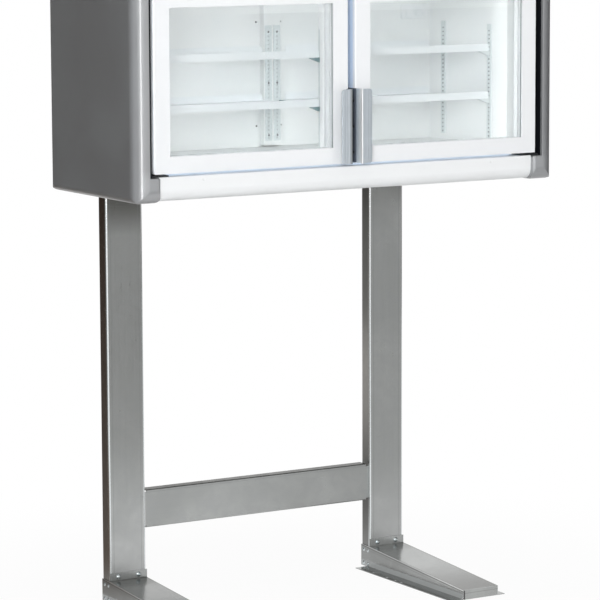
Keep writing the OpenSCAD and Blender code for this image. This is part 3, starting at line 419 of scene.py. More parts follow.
def foot_shade_and_lines(x, y, z):
    """Painted shade: a foot's top is darker, most of all at its nose and by the tab, the left foot's more; its sides
    and its end are painted a little darker. Brake lines: one on the top beside the fold, two on the side 4 and 10 mm
    under it, one on the end."""
    inside, drop = abs(from_foot_middle(x)), under_foot_top(y, z)
    side, on_top = foot_side(x), drop.ramp(-0.002, -0.001)
    top = inside.until(0.0512, 0.0530) * y.ramp(FOOT_END + 0.0003, FOOT_END + 0.0010, 0.36, 1.0) * on_top
    fall = (y.ease(0.06, -0.22, 0.18, 0.76) | y.ease(0.10, 0.20, 0.0, 0.44)) + x.ramp(-0.01, 0.01, 0.32, 0.0)
    # Painted shade over the top, the flange and the sides.
    sheet = top * fall | foot_flange(x) * 0.10 + side * 0.22
    lines = side * drop.near(0.0040, 0.0008, 0.0016, 0.85) | side * drop.near(0.0105, 0.0006, 0.0016, 0.42)
    fold = drop.ramp(0.0002, 0.0004, 0.85, 0.0) * inside.ramp(0.0500, 0.0510) * on_top
    end = y.until(FOOT_END + 0.0001, FOOT_END + 0.0003) * drop.near(0.0085, 0.0006, 0.0018, 0.5)
    return sheet | (lines | (fold | end))


def foot_highlights(x, y, z):
    """Painted highlights of a foot: a bright line along the fold and bright rims at the four holes of the inner
    flange.
    """
    mask = foot_side(x) * under_foot_top(y, z).ramp(0.0024, 0.0030, 0.8, 0.0)
    for hole in HOLES_Y:
        square = (from_foot_middle(x) + HOLES_X) ** 2.0 + (y - hole) ** 2.0
        mask = mask | square.root().until(0.0042, 0.0050)
    return mask


def foot_film(x, y, z):
    """The lowest 14 mm of a foot's sides are dry and don't mirror the floor flange."""
    plate = abs(from_foot_middle(x)).until(FOOT_HALF + 0.0001, FOOT_HALF + 0.0002)
    return foot_side(x) * plate * z.ease(0.013, 0.020, 1.0, 0.0)


def foot_hollow_shade(x, y, z):
    """Painted black shade inside a foot and in the open slit at the inner corner of its end."""
    middle = from_foot_middle(x)
    inside = abs(middle).until(FOOT_HALF - 0.0019, FOOT_HALF - 0.0018)
    inside = inside * (y.ramp(FOOT_END + 0.0018, FOOT_END + 0.0019) * y.until(0.2180, 0.2181))
    slit = middle.until(-0.0480, -0.0477) * y.until(FOOT_END + 0.0025, FOOT_END + 0.0026)
    slit = slit * middle.ramp(-0.0531, -0.0529)
    return under_foot_top(y, z).ramp(0.0014, 0.0016) * (inside | slit)


def crossbar_shade(x, y, z):
    """Painted shade: the crossbar's upper edge is darker, and the whole bar a little towards its right end."""
    return z.ramp(BAR_TOP - 0.0020, BAR_TOP, 0.0, 0.95) | x.ease(-0.05, 0.34, 0.04, 0.12)


def crossbar_end_highlight(x, y, z):
    """A painted highlight on the bend of the crossbar's left end, a bright line 4 mm wide."""
    return x.until(BAR_END, BAR_END + 0.0007)


def crossbar_marks(x, y, z):
    """A thin line under the crossbar's upper edge."""
    return z.near(BAR_TOP - 0.0055, 0.0004, 0.0014)


@finish
def bright_zinc(net):
    """Zinc-plated bolt or rivet: bright, with a faint bluish play."""
    color = net.shared(MOTTLE, Scale=140.0).blend((0.70, 0.80, 0.84), (0.84, 0.88, 0.88))
    rough = net.noise(net.at, 900.0, 2.0).ramp(0.3, 0.7, 0.14, 0.30)
    principled(net, color, rough, 1.0, net.noise(net.at, 1200.0, 1.0), 0.00004)


@finish
def cap_moulding(net):
    """Dark grey moulded end cap under a silvery satin lacquer: fine peel, slow flow marks, rubbed edges.

    The narrow return beside the door is painted black as the shade of the gap; the front of the lip and the right cap
    are painted paler as light falling on them."""
    x, y, z = net.place()
    flow = net.shared(MOTTLE, Scale=4.0)
    dust = net.shared(DUST)
    color = flow.blend(rgb(153, 154, 156), rgb(158, 160, 162))
    color = net.noise(net.at, 2600.0, 2.0, 0.7).ramp(0.35, 0.7, 0.0, 0.10).blend(color, rgb(200, 202, 205))
    color = net.rubbed(color, 0.0015, 0.2, rgb(190, 192, 194))
    color = (dust * 0.12).blend(color, rgb(170, 166, 160))
    # Painted shade: the cap's return beside the door is black, without gloss.
    inner = abs(x).until(0.5634, 0.5644) * z.ramp(RAIL_TOP - 0.003, RAIL_TOP)
    inner = inner * (x.until(0.0, 0.1) | y.ramp(-0.2378, -0.2366))
    shown = 1.0 - inner
    color = inner.blend(color, (0.010, 0.011, 0.014))
    # Painted light: the front of the lip and the right cap are paler.
    lip = z.ease(1.110, 1.150, 1.0, 0.0) * z.ease(1.070, 1.105, 0.0, 0.30) * y.ease(-0.2415, -0.2360, 1.0, 0.0)
    right = x.ramp(0.0, 0.1, 0.0, 0.14) * z.ease(1.110, 1.140)
    color = ((lip | right) * shown).blend(color, rgb(204, 207, 210))
    principled(net, color, flow.to(0.36, 0.42) + dust * 0.15, shown * 0.53,
               net.shared(ORANGE_PEEL, Scale=420.0), 0.00003, Coat_Weight=shown * 0.8, Coat_Roughness=0.035,
               Coat_IOR=1.8, Specular_IOR_Level=shown * 0.5)


@finish
def white_finish(net, tone, shade, rough, peel, depth=0.00005, wear=0.15, coat=0.0, grime=0.1, veil=0.12,
                 extra=None):
    """White paint or white moulding: tone drifts to shade, the skin is peeled, edges are rubbed.

    extra takes the colour, x, y and z, and gives the new colour and how far the gloss stays."""
    fine = net.shared(MOTTLE, Scale=46.0)
    dust = net.shared(DUST)
    color = (net.shared(MOTTLE, Scale=3.5) * 0.6).blend(rgb(*tone), rgb(*shade))
    color = (fine * veil).blend(color, rgb(*shade, by=-10))
    if wear:
        color = net.rubbed(color, 0.0012, wear, rgb(214, 214, 210))
    color = (dust * grime).blend(color, rgb(206, 202, 194))
    gloss = {"Coat_Weight": coat}
    if extra:
        color, shown = extra(color, *net.place())
        gloss = {"Coat_Weight": shown * coat, "Specular_IOR_Level": shown * 0.5}
    principled(net, color, fine.to(*rough) + dust * 0.1, 0.0, net.shared(ORANGE_PEEL, Scale=peel),
               depth, Coat_Roughness=0.08, **gloss)


def door_gap_shade(color, x, y, z):
    """The doors' meeting edges: painted bluish shade deep in the gap between them, painted navy shadow where the
    pulls' legs stand.
    """
    side = abs(x)
    color = (side.until(0.0096, 0.0100) * y.ramp(-0.2255, -0.2205, 0.10, 1.0)).blend(color, (0.70, 0.82, 0.98))
    # Painted shadow between the pulls' legs.
    leg = side.until(0.0126, 0.0129) * z.until(PULL_TOP, PULL_TOP + 0.0010) * z.ramp(PULL_LOW, PULL_LOW + 0.0008)
    return leg.blend(color, (0.115, 0.133, 0.165)), 1.0 - leg


def slot_line(value, middle):
    """1 within 2.6 mm of the middle of a line of slots."""
    return value.near(middle, 0.0026, 0.0030)


def side_slots(y):
    """1 along the lines of slots on the side walls."""
    return slot_line(y, STRIP_YS[0]) | slot_line(y, STRIP_YS[1])


def wall_slot_shade(color, x, y, z):
    """Painted shade: the walls are dark behind the slots of the shelf standards, in lines 5 mm wide that the strips
    hide.
    """
    level = z.ramp(STRIP_LOW, STRIP_LOW + 0.001) * z.until(STRIP_TOP - 0.001, STRIP_TOP)
    back = slot_line(abs(x), BACK_SLOT_X) * y.until(0.1500, 0.1505) * y.ramp(0.1400, 0.1405)
    # Painted shade behind the back channel's slots, and darker behind the side walls' slots.
    color = (back * level).blend(color, (0.46, 0.50, 0.51))
    side = side_slots(y) * abs(x).ramp(0.4885, 0.4895) * level
    return side.blend(color, (0.10, 0.12, 0.125)), 1.0 - side


def strip_slots(color, x, y, z):
    """The slots' inner faces on the side walls' standards are in shade."""
    mask = side_slots(y) * abs(x).ramp(0.4877, 0.4878)
    return mask.blend(color, (0.12, 0.14, 0.145)), 1.0 - mask


def clip_shade(color, x, y, z):
    """The clips on the middle post stand in its shade and are a cool grey; those on the side walls are pale."""
    inner = abs(x).until(0.03, 0.06)
    return inner.blend(color, rgb(104, 134, 138)), 1.0 - inner * 0.5


def pull_light_and_shade(color, x, y, z):
    """Painted light and shade on the pulls: a pull's leg is bright at the front, painted darker towards the door and
    less metallic. The left pull's face has a painted dark rim and a painted pale highlight band beside it, and the
    right pull's rounded bend has a painted highlight."""
    side, right = abs(x), x.ramp(-0.001, 0.001)
    left = 1.0 - right
    leg = side.until(0.0128, 0.0131) * y.ramp(PULL_FACE, PULL_FACE + 0.0012)
    color = leg.blend(color, y.ramp(PULL_FACE + 0.0012, -0.2370).blend((0.94, 0.98, 1.0), (0.62, 0.70, 0.77)))
    # Painted highlight band and painted dark rim on the left pull's face.
    color = (side.near(0.0250, 0.0006, 0.0024, 0.35) * left).blend(color, rgb(236, 242, 246))
    color = (side.ramp(0.0150, 0.0222, 0.8, 0.0) * left).blend(color, rgb(112, 113, 112))
    bend = side.until(0.0150, 0.0168) * y.until(PULL_FACE, PULL_FACE + 0.0027)
    # Painted highlight on the right pull's bend.
    return (bend * right).blend(color, (0.85, 0.86, 0.87)), 1.0 - leg * 0.85


def spacer_lines(color, x, y, z):
    """The bar between the panes is in shade behind the front pane and shines in a line behind that."""
    dark = y.ramp(-0.2232, -0.2224, 0.85, 0.0)
    color = y.near(-0.2208, 0.0010, 0.0018, 0.8).blend(color, (0.93, 0.95, 0.95))
    return dark.blend(color, (0.20, 0.21, 0.225)), 1.0 - dark


@finish
def aluminium(net, tone, along, rough, metallic=1.0, extra=None):
    """Drawn and anodised aluminium: fine lines along the piece, slow tone changes. extra is as for white_finish, and
    scales the metallic value."""
    grain = net.shared(ROLLING_GRAIN, Stretch=along)
    slow = net.shared(MOTTLE, Scale=18.0)
    color = (grain * 0.3).blend(rgb(*tone), rgb(*tone, by=26))
    color = (slow * 0.25).blend(color, rgb(*tone, by=-16))
    color = net.rubbed(color, 0.0008, 0.35, rgb(226, 228, 230))
    if extra:
        color, shown = extra(color, *net.place())
        metallic = shown * metallic
    principled(net, color, slow.to(rough, rough + 0.06) + grain * 0.1, metallic, grain, 0.00003)


@finish
def dark_finish(net, tone, low, high, peel=500.0):
    """Black or dark grey paint or plastic with scuffed edges and a film of dust."""
    slow = net.shared(MOTTLE, Scale=22.0)
    dust = net.shared(DUST)
    color = slow.blend(rgb(*tone), rgb(*tone, by=12))
    color = net.rubbed(color, 0.0012, 0.3, rgb(*tone, by=60))
    color = (dust * 0.3).blend(color, rgb(128, 124, 116))
    principled(net, color, slow.to(low, high) + dust * 0.2, 0.0, net.shared(ORANGE_PEEL, Scale=peel), 0.00005)


@finish
def door_glass(net):
    """Clear low-iron pane with a cool tint; wiping has left faint upright streaks. Lamps shine through it."""
    wipe = net.noise(net.scaled(net.at, (55.0, 55.0, 3.0)), 1.0, 3.0, 0.6, 0.4)
    streak = wipe.ramp(0.60, 0.78) * net.noise(net.at, 6.0, 2.0).ramp(0.5, 0.7)
    glass = principled(net, streak.blend((0.987, 0.992, 0.992), (0.957, 0.967, 0.966)),
                       streak.to(0.0, 0.04), 0.0, Transmission_Weight=1.0, IOR=1.5)
    clear = net.value("ShaderNodeBsdfTransparent", None, {0: (0.982, 0.989, 0.989)})
    rays = net.rays()
    net.surface(net.both(rays["Is Shadow Ray"] | rays["Is Diffuse Ray"], glass, clear))


@finish
def lamp_lens(net):
    """Frosted strip that glows a little, with its row of lamps showing as soft brighter spots."""
    row = net.math("SINE", net.place()[2] * (2.0 * math.pi / LAMP_PITCH))
    frost = net.noise(net.at, 700.0, 2.0)
    principled(net, frost.blend(rgb(226, 228, 226), rgb(240, 241, 238)), frost.ramp(0.3, 0.7, 0.4, 0.6), 0.0, frost,
               0.00006, Emission_Strength=LAMP_GLOW,
               Emission_Color=row.ramp(-1.0, 1.0).blend((0.80, 0.83, 0.84), (1.0, 1.0, 0.98)))


@finish
def rigid_foam(net):
    """Sawn polyurethane foam: tan, with small open cells of two sizes."""
    cells, large = (net.value("ShaderNodeTexVoronoi", None, {"Vector": net.at, "Scale": s}, "Distance")
                    for s in (420.0, 90.0))
    color = net.shared(MOTTLE, Scale=7.0).blend(rgb(226, 214, 176), rgb(240, 231, 202))
    color = cells.ramp(0.0, 0.35, 0.45, 0.0).blend(color, rgb(182, 160, 112))
    principled(net, color, cells.ramp(0.0, 0.6, 0.95, 0.8), 0.0, cells + large * 0.5, 0.0006)


@finish
def drawn_copper(net):
    """Copper tube: warm, browned in patches, bright at the rubbed elbows."""
    tan = net.shared(MOTTLE, Scale=26.0)
    color = tan.blend(rgb(214, 138, 102), rgb(150, 92, 66))
    color = net.rubbed(color, 0.001, 0.4, rgb(236, 176, 140))
    principled(net, color, tan.to(0.22, 0.45), 1.0, net.noise(net.at, 800.0, 2.0), 0.00005)


@finish
def gasket_vinyl(net):
    """Soft pale vinyl with a dull bloom and tiny creases across the bellows."""
    bloom = net.shared(MOTTLE, Scale=30.0)
    principled(net, bloom.blend(rgb(198, 204, 210), rgb(216, 220, 224)), bloom.to(0.5, 0.68), 0.0,
               net.noise(net.at, 380.0, 3.0, 0.7), 0.00012, Sheen_Weight=0.1)


@finish
def plate_film(net):
    """Bare white film plate with a silvery shine and slightly lifted, greyed edges."""
    silk = net.shared(MOTTLE, Scale=60.0)
    color = silk.blend(rgb(238, 242, 243), rgb(244, 246, 247))
    color = net.rubbed(color, 0.0015, 0.5, rgb(180, 184, 186))
    principled(net, color, silk.to(0.25, 0.4), 0.0, net.noise(net.at, 500.0), 0.00003)


FINISH = {
    "cap_grey": cap_moulding("Cap_moulding"),
    "stand_steel": stand_steel("Stand_sheet", ALONG_Z),
    "zinc_steel": bright_zinc("Bright_zinc"),
    "white_sheet": white_finish("White_powder_sheet", (238, 242, 244), (230, 235, 238), (0.30, 0.42), 380.0),
    "white_plastic": white_finish("White_moulding", (240, 243, 246), (235, 239, 242), (0.26, 0.34), 240.0),
    "rigid_foam": rigid_foam("Rigid_foam"),
    "black_steel": dark_finish("Black_steel", (26, 27, 30), 0.28, 0.42),
    "black_plastic": dark_finish("Black_plastic", (30, 31, 33), 0.42, 0.55, 900.0),
    "clear_glass": door_glass("Door_glass"),
    "bar_aluminium": aluminium("Spacer_aluminium", (224, 226, 228), ALONG_Z, 0.34, 0.7, spacer_lines),
    "handle_aluminium": aluminium("Pull_aluminium", (196, 204, 211), ALONG_Z, 0.34, 0.55, pull_light_and_shade),
    "gasket_vinyl": gasket_vinyl("Gasket_vinyl"),
    "lamp_lens": lamp_lens("Lamp_lens"),
    "coil_aluminium": aluminium("Coil_aluminium", (196, 198, 200), (400.0, 60.0, 60.0), 0.3),
    "copper_pipe": drawn_copper("Drawn_copper"),
    "motor_grey": dark_finish("Motor_grey", (92, 93, 96), 0.34, 0.5, 260.0),
}
ON_NODE = {
    "left_upright": stand_steel("Upright_sheet", ALONG_Z, dull=upright_top_shade, dark=0.15, light=upright_root_light,
                                tint=upright_painted_tones, marks=upright_marks, wear=0.3, bends=upright_bends),
    "crossbar": stand_steel("Crossbar_sheet", ALONG_X, 3.0, dull=crossbar_shade, dark=0.10, light=crossbar_end_highlight,
                            marks=crossbar_marks, wear=0.1),
    "left_foot": stand_steel("Foot_sheet", ALONG_Y, dull=foot_shade_and_lines, dark=0.12, light=foot_highlights, film=foot_film,
                             hollow_shade=foot_hollow_shade, even=0.6),
    "left_door_frame": white_finish("Door_lacquer", (247, 249, 251), (245, 247, 249), (0.20, 0.27), 170.0, 0.000015,
                                    wear=0.1, coat=0.3, grime=0.05, veil=0.05, extra=door_gap_shade),
    "bottom_rail": white_finish("Rail_moulding", (248, 250, 251), (247, 249, 250), (0.30, 0.32), 210.0, 0.000004,
                                wear=0.0, grime=0.05, veil=0.03),
    "inner_liner": white_finish("Liner_moulding", (243, 245, 245), (236, 240, 240), (0.34, 0.46), 150.0, 0.00007,
                                wear=0.0, veil=0.06, extra=wall_slot_shade),
    "left_lower_shelf": white_finish("Shelf_powder", (238, 242, 244), (234, 238, 241), (0.36, 0.46), 700.0, 0.00004),
    "shelf_standards": white_finish("Standard_enamel", (220, 227, 228), (212, 219, 220), (0.3, 0.42), 500.0,
                                    extra=strip_slots),
    "shelf_clips": white_finish("Clip_enamel", (214, 220, 221), (204, 210, 211), (0.3, 0.42), 500.0,
                                extra=clip_shade),
    "back_panel": stand_steel("Back_sheet", ALONG_Z, 3.0),
}
SAME_AS = {
    "right_upright": "left_upright", "right_foot": "left_foot", "right_door_frame": "left_door_frame",
    "top_rail": "bottom_rail", "rail_plugs": "bottom_rail", "rear_channel": "inner_liner",
    "centre_mullion": "bottom_rail", "breaker_frame": "inner_liner", "ceiling_grille": "inner_liner",
    "left_upper_shelf": "left_lower_shelf", "right_lower_shelf": "left_lower_shelf",
    "right_upper_shelf": "left_lower_shelf",
}


def dress(obj, mat):
    """The piece or node takes this finish and no other."""
    obj.data.materials.clear()
    obj.data.materials.append(mat)


for node, obj in NODES.items():
    dress(obj, ON_NODE.get(SAME_AS.get(node, node)) or FINISH[SLOT_OF[node]])


# ---------------------------------------------------------------- surfaces

def grid_faces(rows, cols, wrap_rows=False, wrap_cols=False, start=0):
    """Four-sided faces of a grid of corners numbered row by row, joined round where it wraps."""
    r = np.arange(rows if wrap_rows else rows - 1)[:, None]
    c = np.arange(cols if wrap_cols else cols - 1)[None, :]
    r1, c1 = (r + 1) % rows, (c + 1) % cols
    quads = np.stack(np.broadcast_arrays(r * cols + c, r * cols + c1, r1 * cols + c1, r1 * cols + c), -1)
    return quads.reshape(-1, 4) + start


def link(name, data):
    """A new object in the scene."""
    obj = bpy.data.objects.new(name, data)
    bpy.context.scene.collection.objects.link(obj)
    return obj


def put_mesh(name, verts, faces, mat, body, replaced=()):
    """A smooth mesh object in metres, wound so that its volume is positive, on its body."""
    verts = np.asarray(verts, float).reshape(-1, 3)
    mesh = bpy.data.meshes.new(name)
    mesh.from_pydata(verts.tolist(), [], [list(map(int, f)) for f in faces])
    mesh.validate()
    tri = np.array([(p.vertices[0], p.vertices[i], p.vertices[i + 1])
                    for p in mesh.polygons for i in range(1, len(p.vertices) - 1)])
    a, b, c = verts[tri[:, 0]], verts[tri[:, 1]], verts[tri[:, 2]]
    if np.einsum("ij,ij->i", a, np.cross(b, c)).sum() < 0:
        mesh.flip_normals()
    mesh.polygons.foreach_set("use_smooth", np.full(len(mesh.polygons), True))
    mesh.update()
    obj = link(name, mesh)
    dress(obj, mat)
    if replaced:
        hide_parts(*replaced)
    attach(obj, body)
    return obj


def arc(cx, cy, r, a0, a1, n):
    """Points on a circle's arc, from angle a0 to a1 in degrees."""
    t = np.radians(np.linspace(a0, a1, n))
    return np.stack([cx + r * np.cos(t), cy + r * np.sin(t)], -1)


# ---------------------------------------------------------------- pulls

def pull(side, sign):
    """Ribbed angle-shaped pull. Its section is a band: an outer curve (leg, rounded bend, and a face with a crown and
    two shallow flutes) and an inner curve one wall behind it. The band is carried up Z; near both ends the face's
    reach follows a quarter circle, so that its free corners are round."""
    lo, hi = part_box(side + "_handle")
    x_leg = min(abs(lo.x), abs(hi.x))
    reach = max(abs(lo.x), abs(hi.x)) - x_leg
    y_face, y_end = lo.y, hi.y
    wall, bend, nose, corner = 0.003, 0.0042, 0.0014, 0.008
    n_leg, n_bend, n_face = 10, 10, 48
    leg = np.stack([np.zeros(n_leg), np.linspace(y_end, y_face + bend, n_leg)], -1)
    turn = arc(bend, y_face + bend, bend, 180, 270, n_bend)[1:-1]
    fx = np.linspace(bend, reach - nose, n_face)
    u = (fx - bend) / (reach - nose - bend)
    crown = 0.0007 * (2 * u - 1) ** 2
    flute = 0.0006 * np.exp(-((u - 0.36) / 0.055) ** 2) + 0.0005 * np.exp(-((u - 0.66) / 0.06) ** 2)
    face = np.stack([fx, y_face + crown * np.clip(u * 6, 0, 1) + flute], -1)
    tip = arc(reach - nose, face[-1, 1] + nose, nose, 270, 360, 6)[1:]
    outer = np.concatenate([leg, turn, face, tip])
    inner = outer.copy()
    k = n_leg
    inner[:k, 0] = wall
    inner[k:k + len(turn)] = arc(bend, y_face + bend, bend - wall, 180, 270, n_bend)[1:-1]
    inner[k + len(turn):, 1] = y_face + wall + 0.0008
    inner[k + len(turn):, 0] = np.maximum(inner[k + len(turn):, 0], wall + 0.0004)
    inner[-len(tip):, 0] = reach
    ring = np.concatenate([outer, inner[::-1]])
    ends = corner * (1 - np.cos(np.linspace(0, np.pi / 2, 9)))
    z = np.concatenate([lo.z + ends, hi.z - ends[::-1]])
    from_end = np.minimum(np.minimum(z - lo.z, hi.z - z), corner)
    cut = corner - np.sqrt(np.maximum(corner ** 2 - (corner - from_end) ** 2, 0.0))
    fit = (reach - cut) / reach
    x = ring[None, :, 0] * np.where(ring[None, :, 0] > wall * 1.5,
                                    1 + (fit[:, None] - 1) * (ring[None, :, 0] / reach), 1.0)
    rows, cols = len(z), len(ring)
    verts = np.stack([sign * (x_leg + x), np.broadcast_to(ring[None, :, 1], x.shape),
                      np.broadcast_to(z[:, None], x.shape)], -1)
    k = np.arange(len(outer) - 1)
    cap = np.stack([k, k + 1, cols - 2 - k, cols - 1 - k], -1)
    faces = np.concatenate([grid_faces(rows, cols, False, True), cap[:, ::-1], cap + (rows - 1) * cols])
    obj = put_mesh(side + "_ribbed_pull", verts, faces, FINISH["handle_aluminium"],
                   side + "_door", (side + "_handle",))
    bevel = obj.modifiers.new("Eased_ends", "BEVEL")
    bevel.width, bevel.segments, bevel.limit_method, bevel.angle_limit = 0.0005, 2, "ANGLE", math.radians(50)


# ---------------------------------------------------------------- gaskets

def gasket(side):
    """Bellows gasket: a closed section (foot, two folds, magnet pocket) carried round a rectangle with round corners.
    A section point (a, b) lies a outwards from the loop and b from the door towards the liner."""
    lo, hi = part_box(side + "_gasket")
    width, bend = 0.011, 0.006
    a = np.array([-.5, -.5, -.30, -.36, -.47, -.40, -.42, -.5, -.5, .5, .5, .42, .40, .47, .36, .30, .5, .5])
    b = np.array([.00, .10, .17, .27, .40, .52, .60, .66, 1., 1., .66, .60, .52, .40, .27, .17, .10, .00])
    half = [(hi.x - lo.x) / 2 - width / 2, (hi.z - lo.z) / 2 - width / 2]
    mid = [(hi.x + lo.x) / 2, (hi.z + lo.z) / 2]
    loop, out = [], []
    for cx, cz, start in ((1, 1, 0), (-1, 1, 90), (-1, -1, 180), (1, -1, 270)):
        loop.append(arc(mid[0] + cx * (half[0] - bend), mid[1] + cz * (half[1] - bend), bend, start, start + 90, 7))
        out.append(arc(0.0, 0.0, 1.0, start, start + 90, 7))
    loop, out = np.concatenate(loop), np.concatenate(out)
    flat = loop[:, None] + out[:, None] * (a * width)[None, :, None]
    depth = np.broadcast_to(lo.y + b * (hi.y - lo.y), flat.shape[:2])
    verts = np.stack([flat[..., 0], depth, flat[..., 1]], -1)
    put_mesh(side + "_bellows_gasket", verts, grid_faces(len(loop), len(a), True, True), FINISH["gasket_vinyl"],
             side + "_door", (side + "_gasket",))


# ---------------------------------------------------------------- screws and plate

def fan(middle, first, n, outwards):
    """Triangles from one corner to a ring of n corners that starts at first, wound the one way or the other."""
    k = np.arange(n)
    pair = (first + k, first + (k + 1) % n)
    return list(zip(np.full(n, middle), *(pair if outwards else pair[::-1])))


def cross_screw(r, h, n_r=11, n_t=48):
    """Pan head as a height over a disc: a dome h(1 - (s/r)^4) less a four-armed slot that fades outwards.
    Returns corners about the origin, the head rising along +Z, closed below."""
    s = np.concatenate([np.linspace(0, 0.62, n_r - 4), [0.75, 0.88, 0.96, 1.0]])[1:] * r
    t = np.linspace(0, 2 * np.pi, n_t, endpoint=False)
    S, T = np.meshgrid(s, t, indexing="ij")
    dome = h * (1 - (S / r) ** 4)
    arms = np.exp(-(np.minimum(np.abs(np.sin(T)), np.abs(np.cos(T))) * S / (0.13 * r)) ** 4)
    dip = 0.75 * h * arms * np.clip(1.35 - S / (0.5 * r), 0, 1)
    top = np.stack([S * np.cos(T), S * np.sin(T), dome - dip], -1).reshape(-1, 3)
    verts = np.concatenate([[[0, 0, 0.25 * h]], top, [[0, 0, 0.0]]])
    faces = [tuple(f) for f in grid_faces(n_r - 1, n_t, False, True, 1)]
    faces += fan(0, 1, n_t, False)
    faces += fan(len(verts) - 1, 1 + (n_r - 2) * n_t, n_t, True)
    return verts, faces


def screws(name, places, r, h, mat):
    """One mesh of cross-slot screws of head radius r and height h, which rise towards -Y at their places."""
    verts, faces = cross_screw(r, h)
    turn = np.array(Vector((0, 0, 1)).rotation_difference(Vector((0, -1, 0))).to_matrix())
    all_verts = (np.asarray(places)[:, None] + (verts @ turn.T)[None]).reshape(-1, 3)
    all_faces = [tuple(i + k * len(verts) for i in f) for k in range(len(places)) for f in faces]
    put_mesh(name, all_verts, all_faces, mat, "cabinet")


def data_plate(wall):
    """Bare plate on the back wall: a rounded rectangle whose skin rises over the rim and dishes 0.1 mm in the middle.
    Superellipse rings from the rim inwards give its corners."""
    cx, cz, hx, hz = 0.4435, 1.4785, 0.0435, 0.0195
    n, power = 96, 0.16
    t = np.linspace(0, 2 * np.pi, n, endpoint=False)
    ex = np.sign(np.cos(t)) * np.abs(np.cos(t)) ** power
    ez = np.sign(np.sin(t)) * np.abs(np.sin(t)) ** power
    ring = np.array([1.0, 1.0, 0.985, 0.96, 0.6, 0.2])
    rise = np.array([0.0, 0.0003, 0.0006, 0.0006, 0.0005, 0.0005])
    verts = np.stack([cx + ring[:, None] * ex * hx, np.broadcast_to((wall - rise)[:, None], (len(ring), n)),
                      cz + ring[:, None] * ez * hz], -1).reshape(-1, 3)
    verts = np.concatenate([verts, [[cx, wall - 0.0005, cz], [cx, wall, cz]]])
    faces = [tuple(f) for f in grid_faces(len(ring), n, False, True)]
    k = np.arange(n)
    last, total = (len(ring) - 1) * n, len(verts)
    faces += list(zip(last + k, last + (k + 1) % n, np.full(n, total - 2)))
    faces += list(zip((k + 1) % n, k, np.full(n, total - 1)))
    put_mesh("Bare_data_plate", verts, faces, plate_film("Plate_film"), "cabinet")


for side, sign in (("left", -1), ("right", 1)):
    pull(side, sign)
    gasket(side)

strip_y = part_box("rear_channel")[0].y - 0.0025
wall_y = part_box("inner_liner")[1].y - 0.002
screws("Strip_screws", [(s * BACK_SLOT_X, strip_y, z) for s in (-1, 1) for z in (1.4385, 1.3095, 1.1765)],
       0.0026, 0.0016, FINISH["motor_grey"])
screws("Wall_screws", [(s * 0.036, wall_y, z) for s in (-1, 1) for z in (1.463, 1.200)],
       0.0024, 0.0015, FINISH["black_steel"])
data_plate(wall_y)


# ---------------------------------------------------------------- studio

def away_from(az, elevation):
    """The unit vector az degrees from -Y towards +X and elevation degrees up."""
    a, e = math.radians(az), math.radians(elevation)
    return Vector((math.sin(a) * math.cos(e), -math.cos(a) * math.cos(e), math.sin(e)))


def look_matrix(az, pitch, roll, where):
    """Camera matrix: az turns from -Y towards +X, pitch looks down, roll turns about the view line; in degrees."""
    a, r = math.radians(az), math.radians(roll)
    back = away_from(az, pitch)
    right = Vector((math.cos(a), math.sin(a), 0.0))
    up = back.cross(right)
    rolled = (right * math.cos(r) + up * math.sin(r), up * math.cos(r) - right * math.sin(r))
    m = Matrix((*rolled, back)).transposed().to_4x4()
    m.translation = Vector(where)
    return m


camera = link("Camera", bpy.data.cameras.new("Camera"))
camera.matrix_world = look_matrix(-31.0475, 7.7849, -0.2286, (-3.9887, -6.6114, 1.8258))
camera.data.sensor_width = 36.0
camera.data.lens = 185.58
camera.data.clip_end = 60.0
camera.data.dof.use_dof = False
bpy.context.scene.camera = camera


def flat_lamp(name, size, power, where, away, color=(1, 1, 1)):
    """A flat lamp of this width and height that shines against away. Neither camera nor gloss sees it."""
    data = bpy.data.lights.new(name, "AREA")
    data.shape = "RECTANGLE"
    data.size, data.size_y = size
    data.energy = power
    data.color = color
    obj = link(name, data)
    obj.location = where
    obj.rotation_euler = away.to_track_quat("Z", "Y").to_euler()
    obj.visible_camera = obj.visible_glossy = False
    return obj


def softbox(name, az, elevation, distance, size, power, aim=(0.0, 0.0, 1.0)):
    """A studio lamp some way from the point it is turned to."""
    away = away_from(az, elevation)
    return flat_lamp(name, size, power, Vector(aim) + away * distance, away)


def cabinet_lamp(name, size, power, where, toward, color=(1, 1, 1)):
    """A slender lamp at the cabinet that only its walls, doors and shelves see."""
    flat_lamp(name, size, power, where, -Vector(toward), color).visible_transmission = False


softbox("Key", -35, 12, 9.0, (4.5, 3.6), 475)
softbox("Right_fill", 27, 14, 7.0, (1.3, 1.8), 34)
strip = softbox("Camera_strip", -39.5, 1.9, 3.4, (0.55, 1.28), 12.0, (-0.58, -0.23, 1.15))
strip.visible_diffuse, strip.visible_glossy = False, True
softbox("Overhead", 10, 84, 3.4, (3.0, 3.0), 46, (0.0, -0.2, 1.0))

for mark, sign, powers in (("left", -1, (0.13, 0.17, 0.11)), ("right", 1, (0.14, 0.15, 0.14))):
    cabinet_lamp("Mullion_lamp_" + mark, (0.02, 0.36), 0.43, (sign * 0.040, -0.172, OPENING_Z),
                 (sign * 0.75, 1.0, 0.0))
    for level, power in zip((1.536, 1.378, 1.257), powers):
        cabinet_lamp("Bay_lamp_%s_%d" % (mark, level * 1000), (0.34, 0.010), power,
                     (sign * 0.225, -0.096, level), (0.0, 1.0, -0.2))
    for place, level, tilt in (("Sill", 1.157, 0.3), ("Lintel", 1.537, -0.3)):
        cabinet_lamp("%s_lamp_%s" % (place, mark), (0.42, 0.006), 0.085, (sign * 0.26, -0.180, level),
                     (0.0, 1.0, tilt))

cabinet_lamp("Jamb_lamp_right", (0.008, 0.36), 0.045, (0.44, -0.165, OPENING_Z), (1.0, -0.1, 0.0))
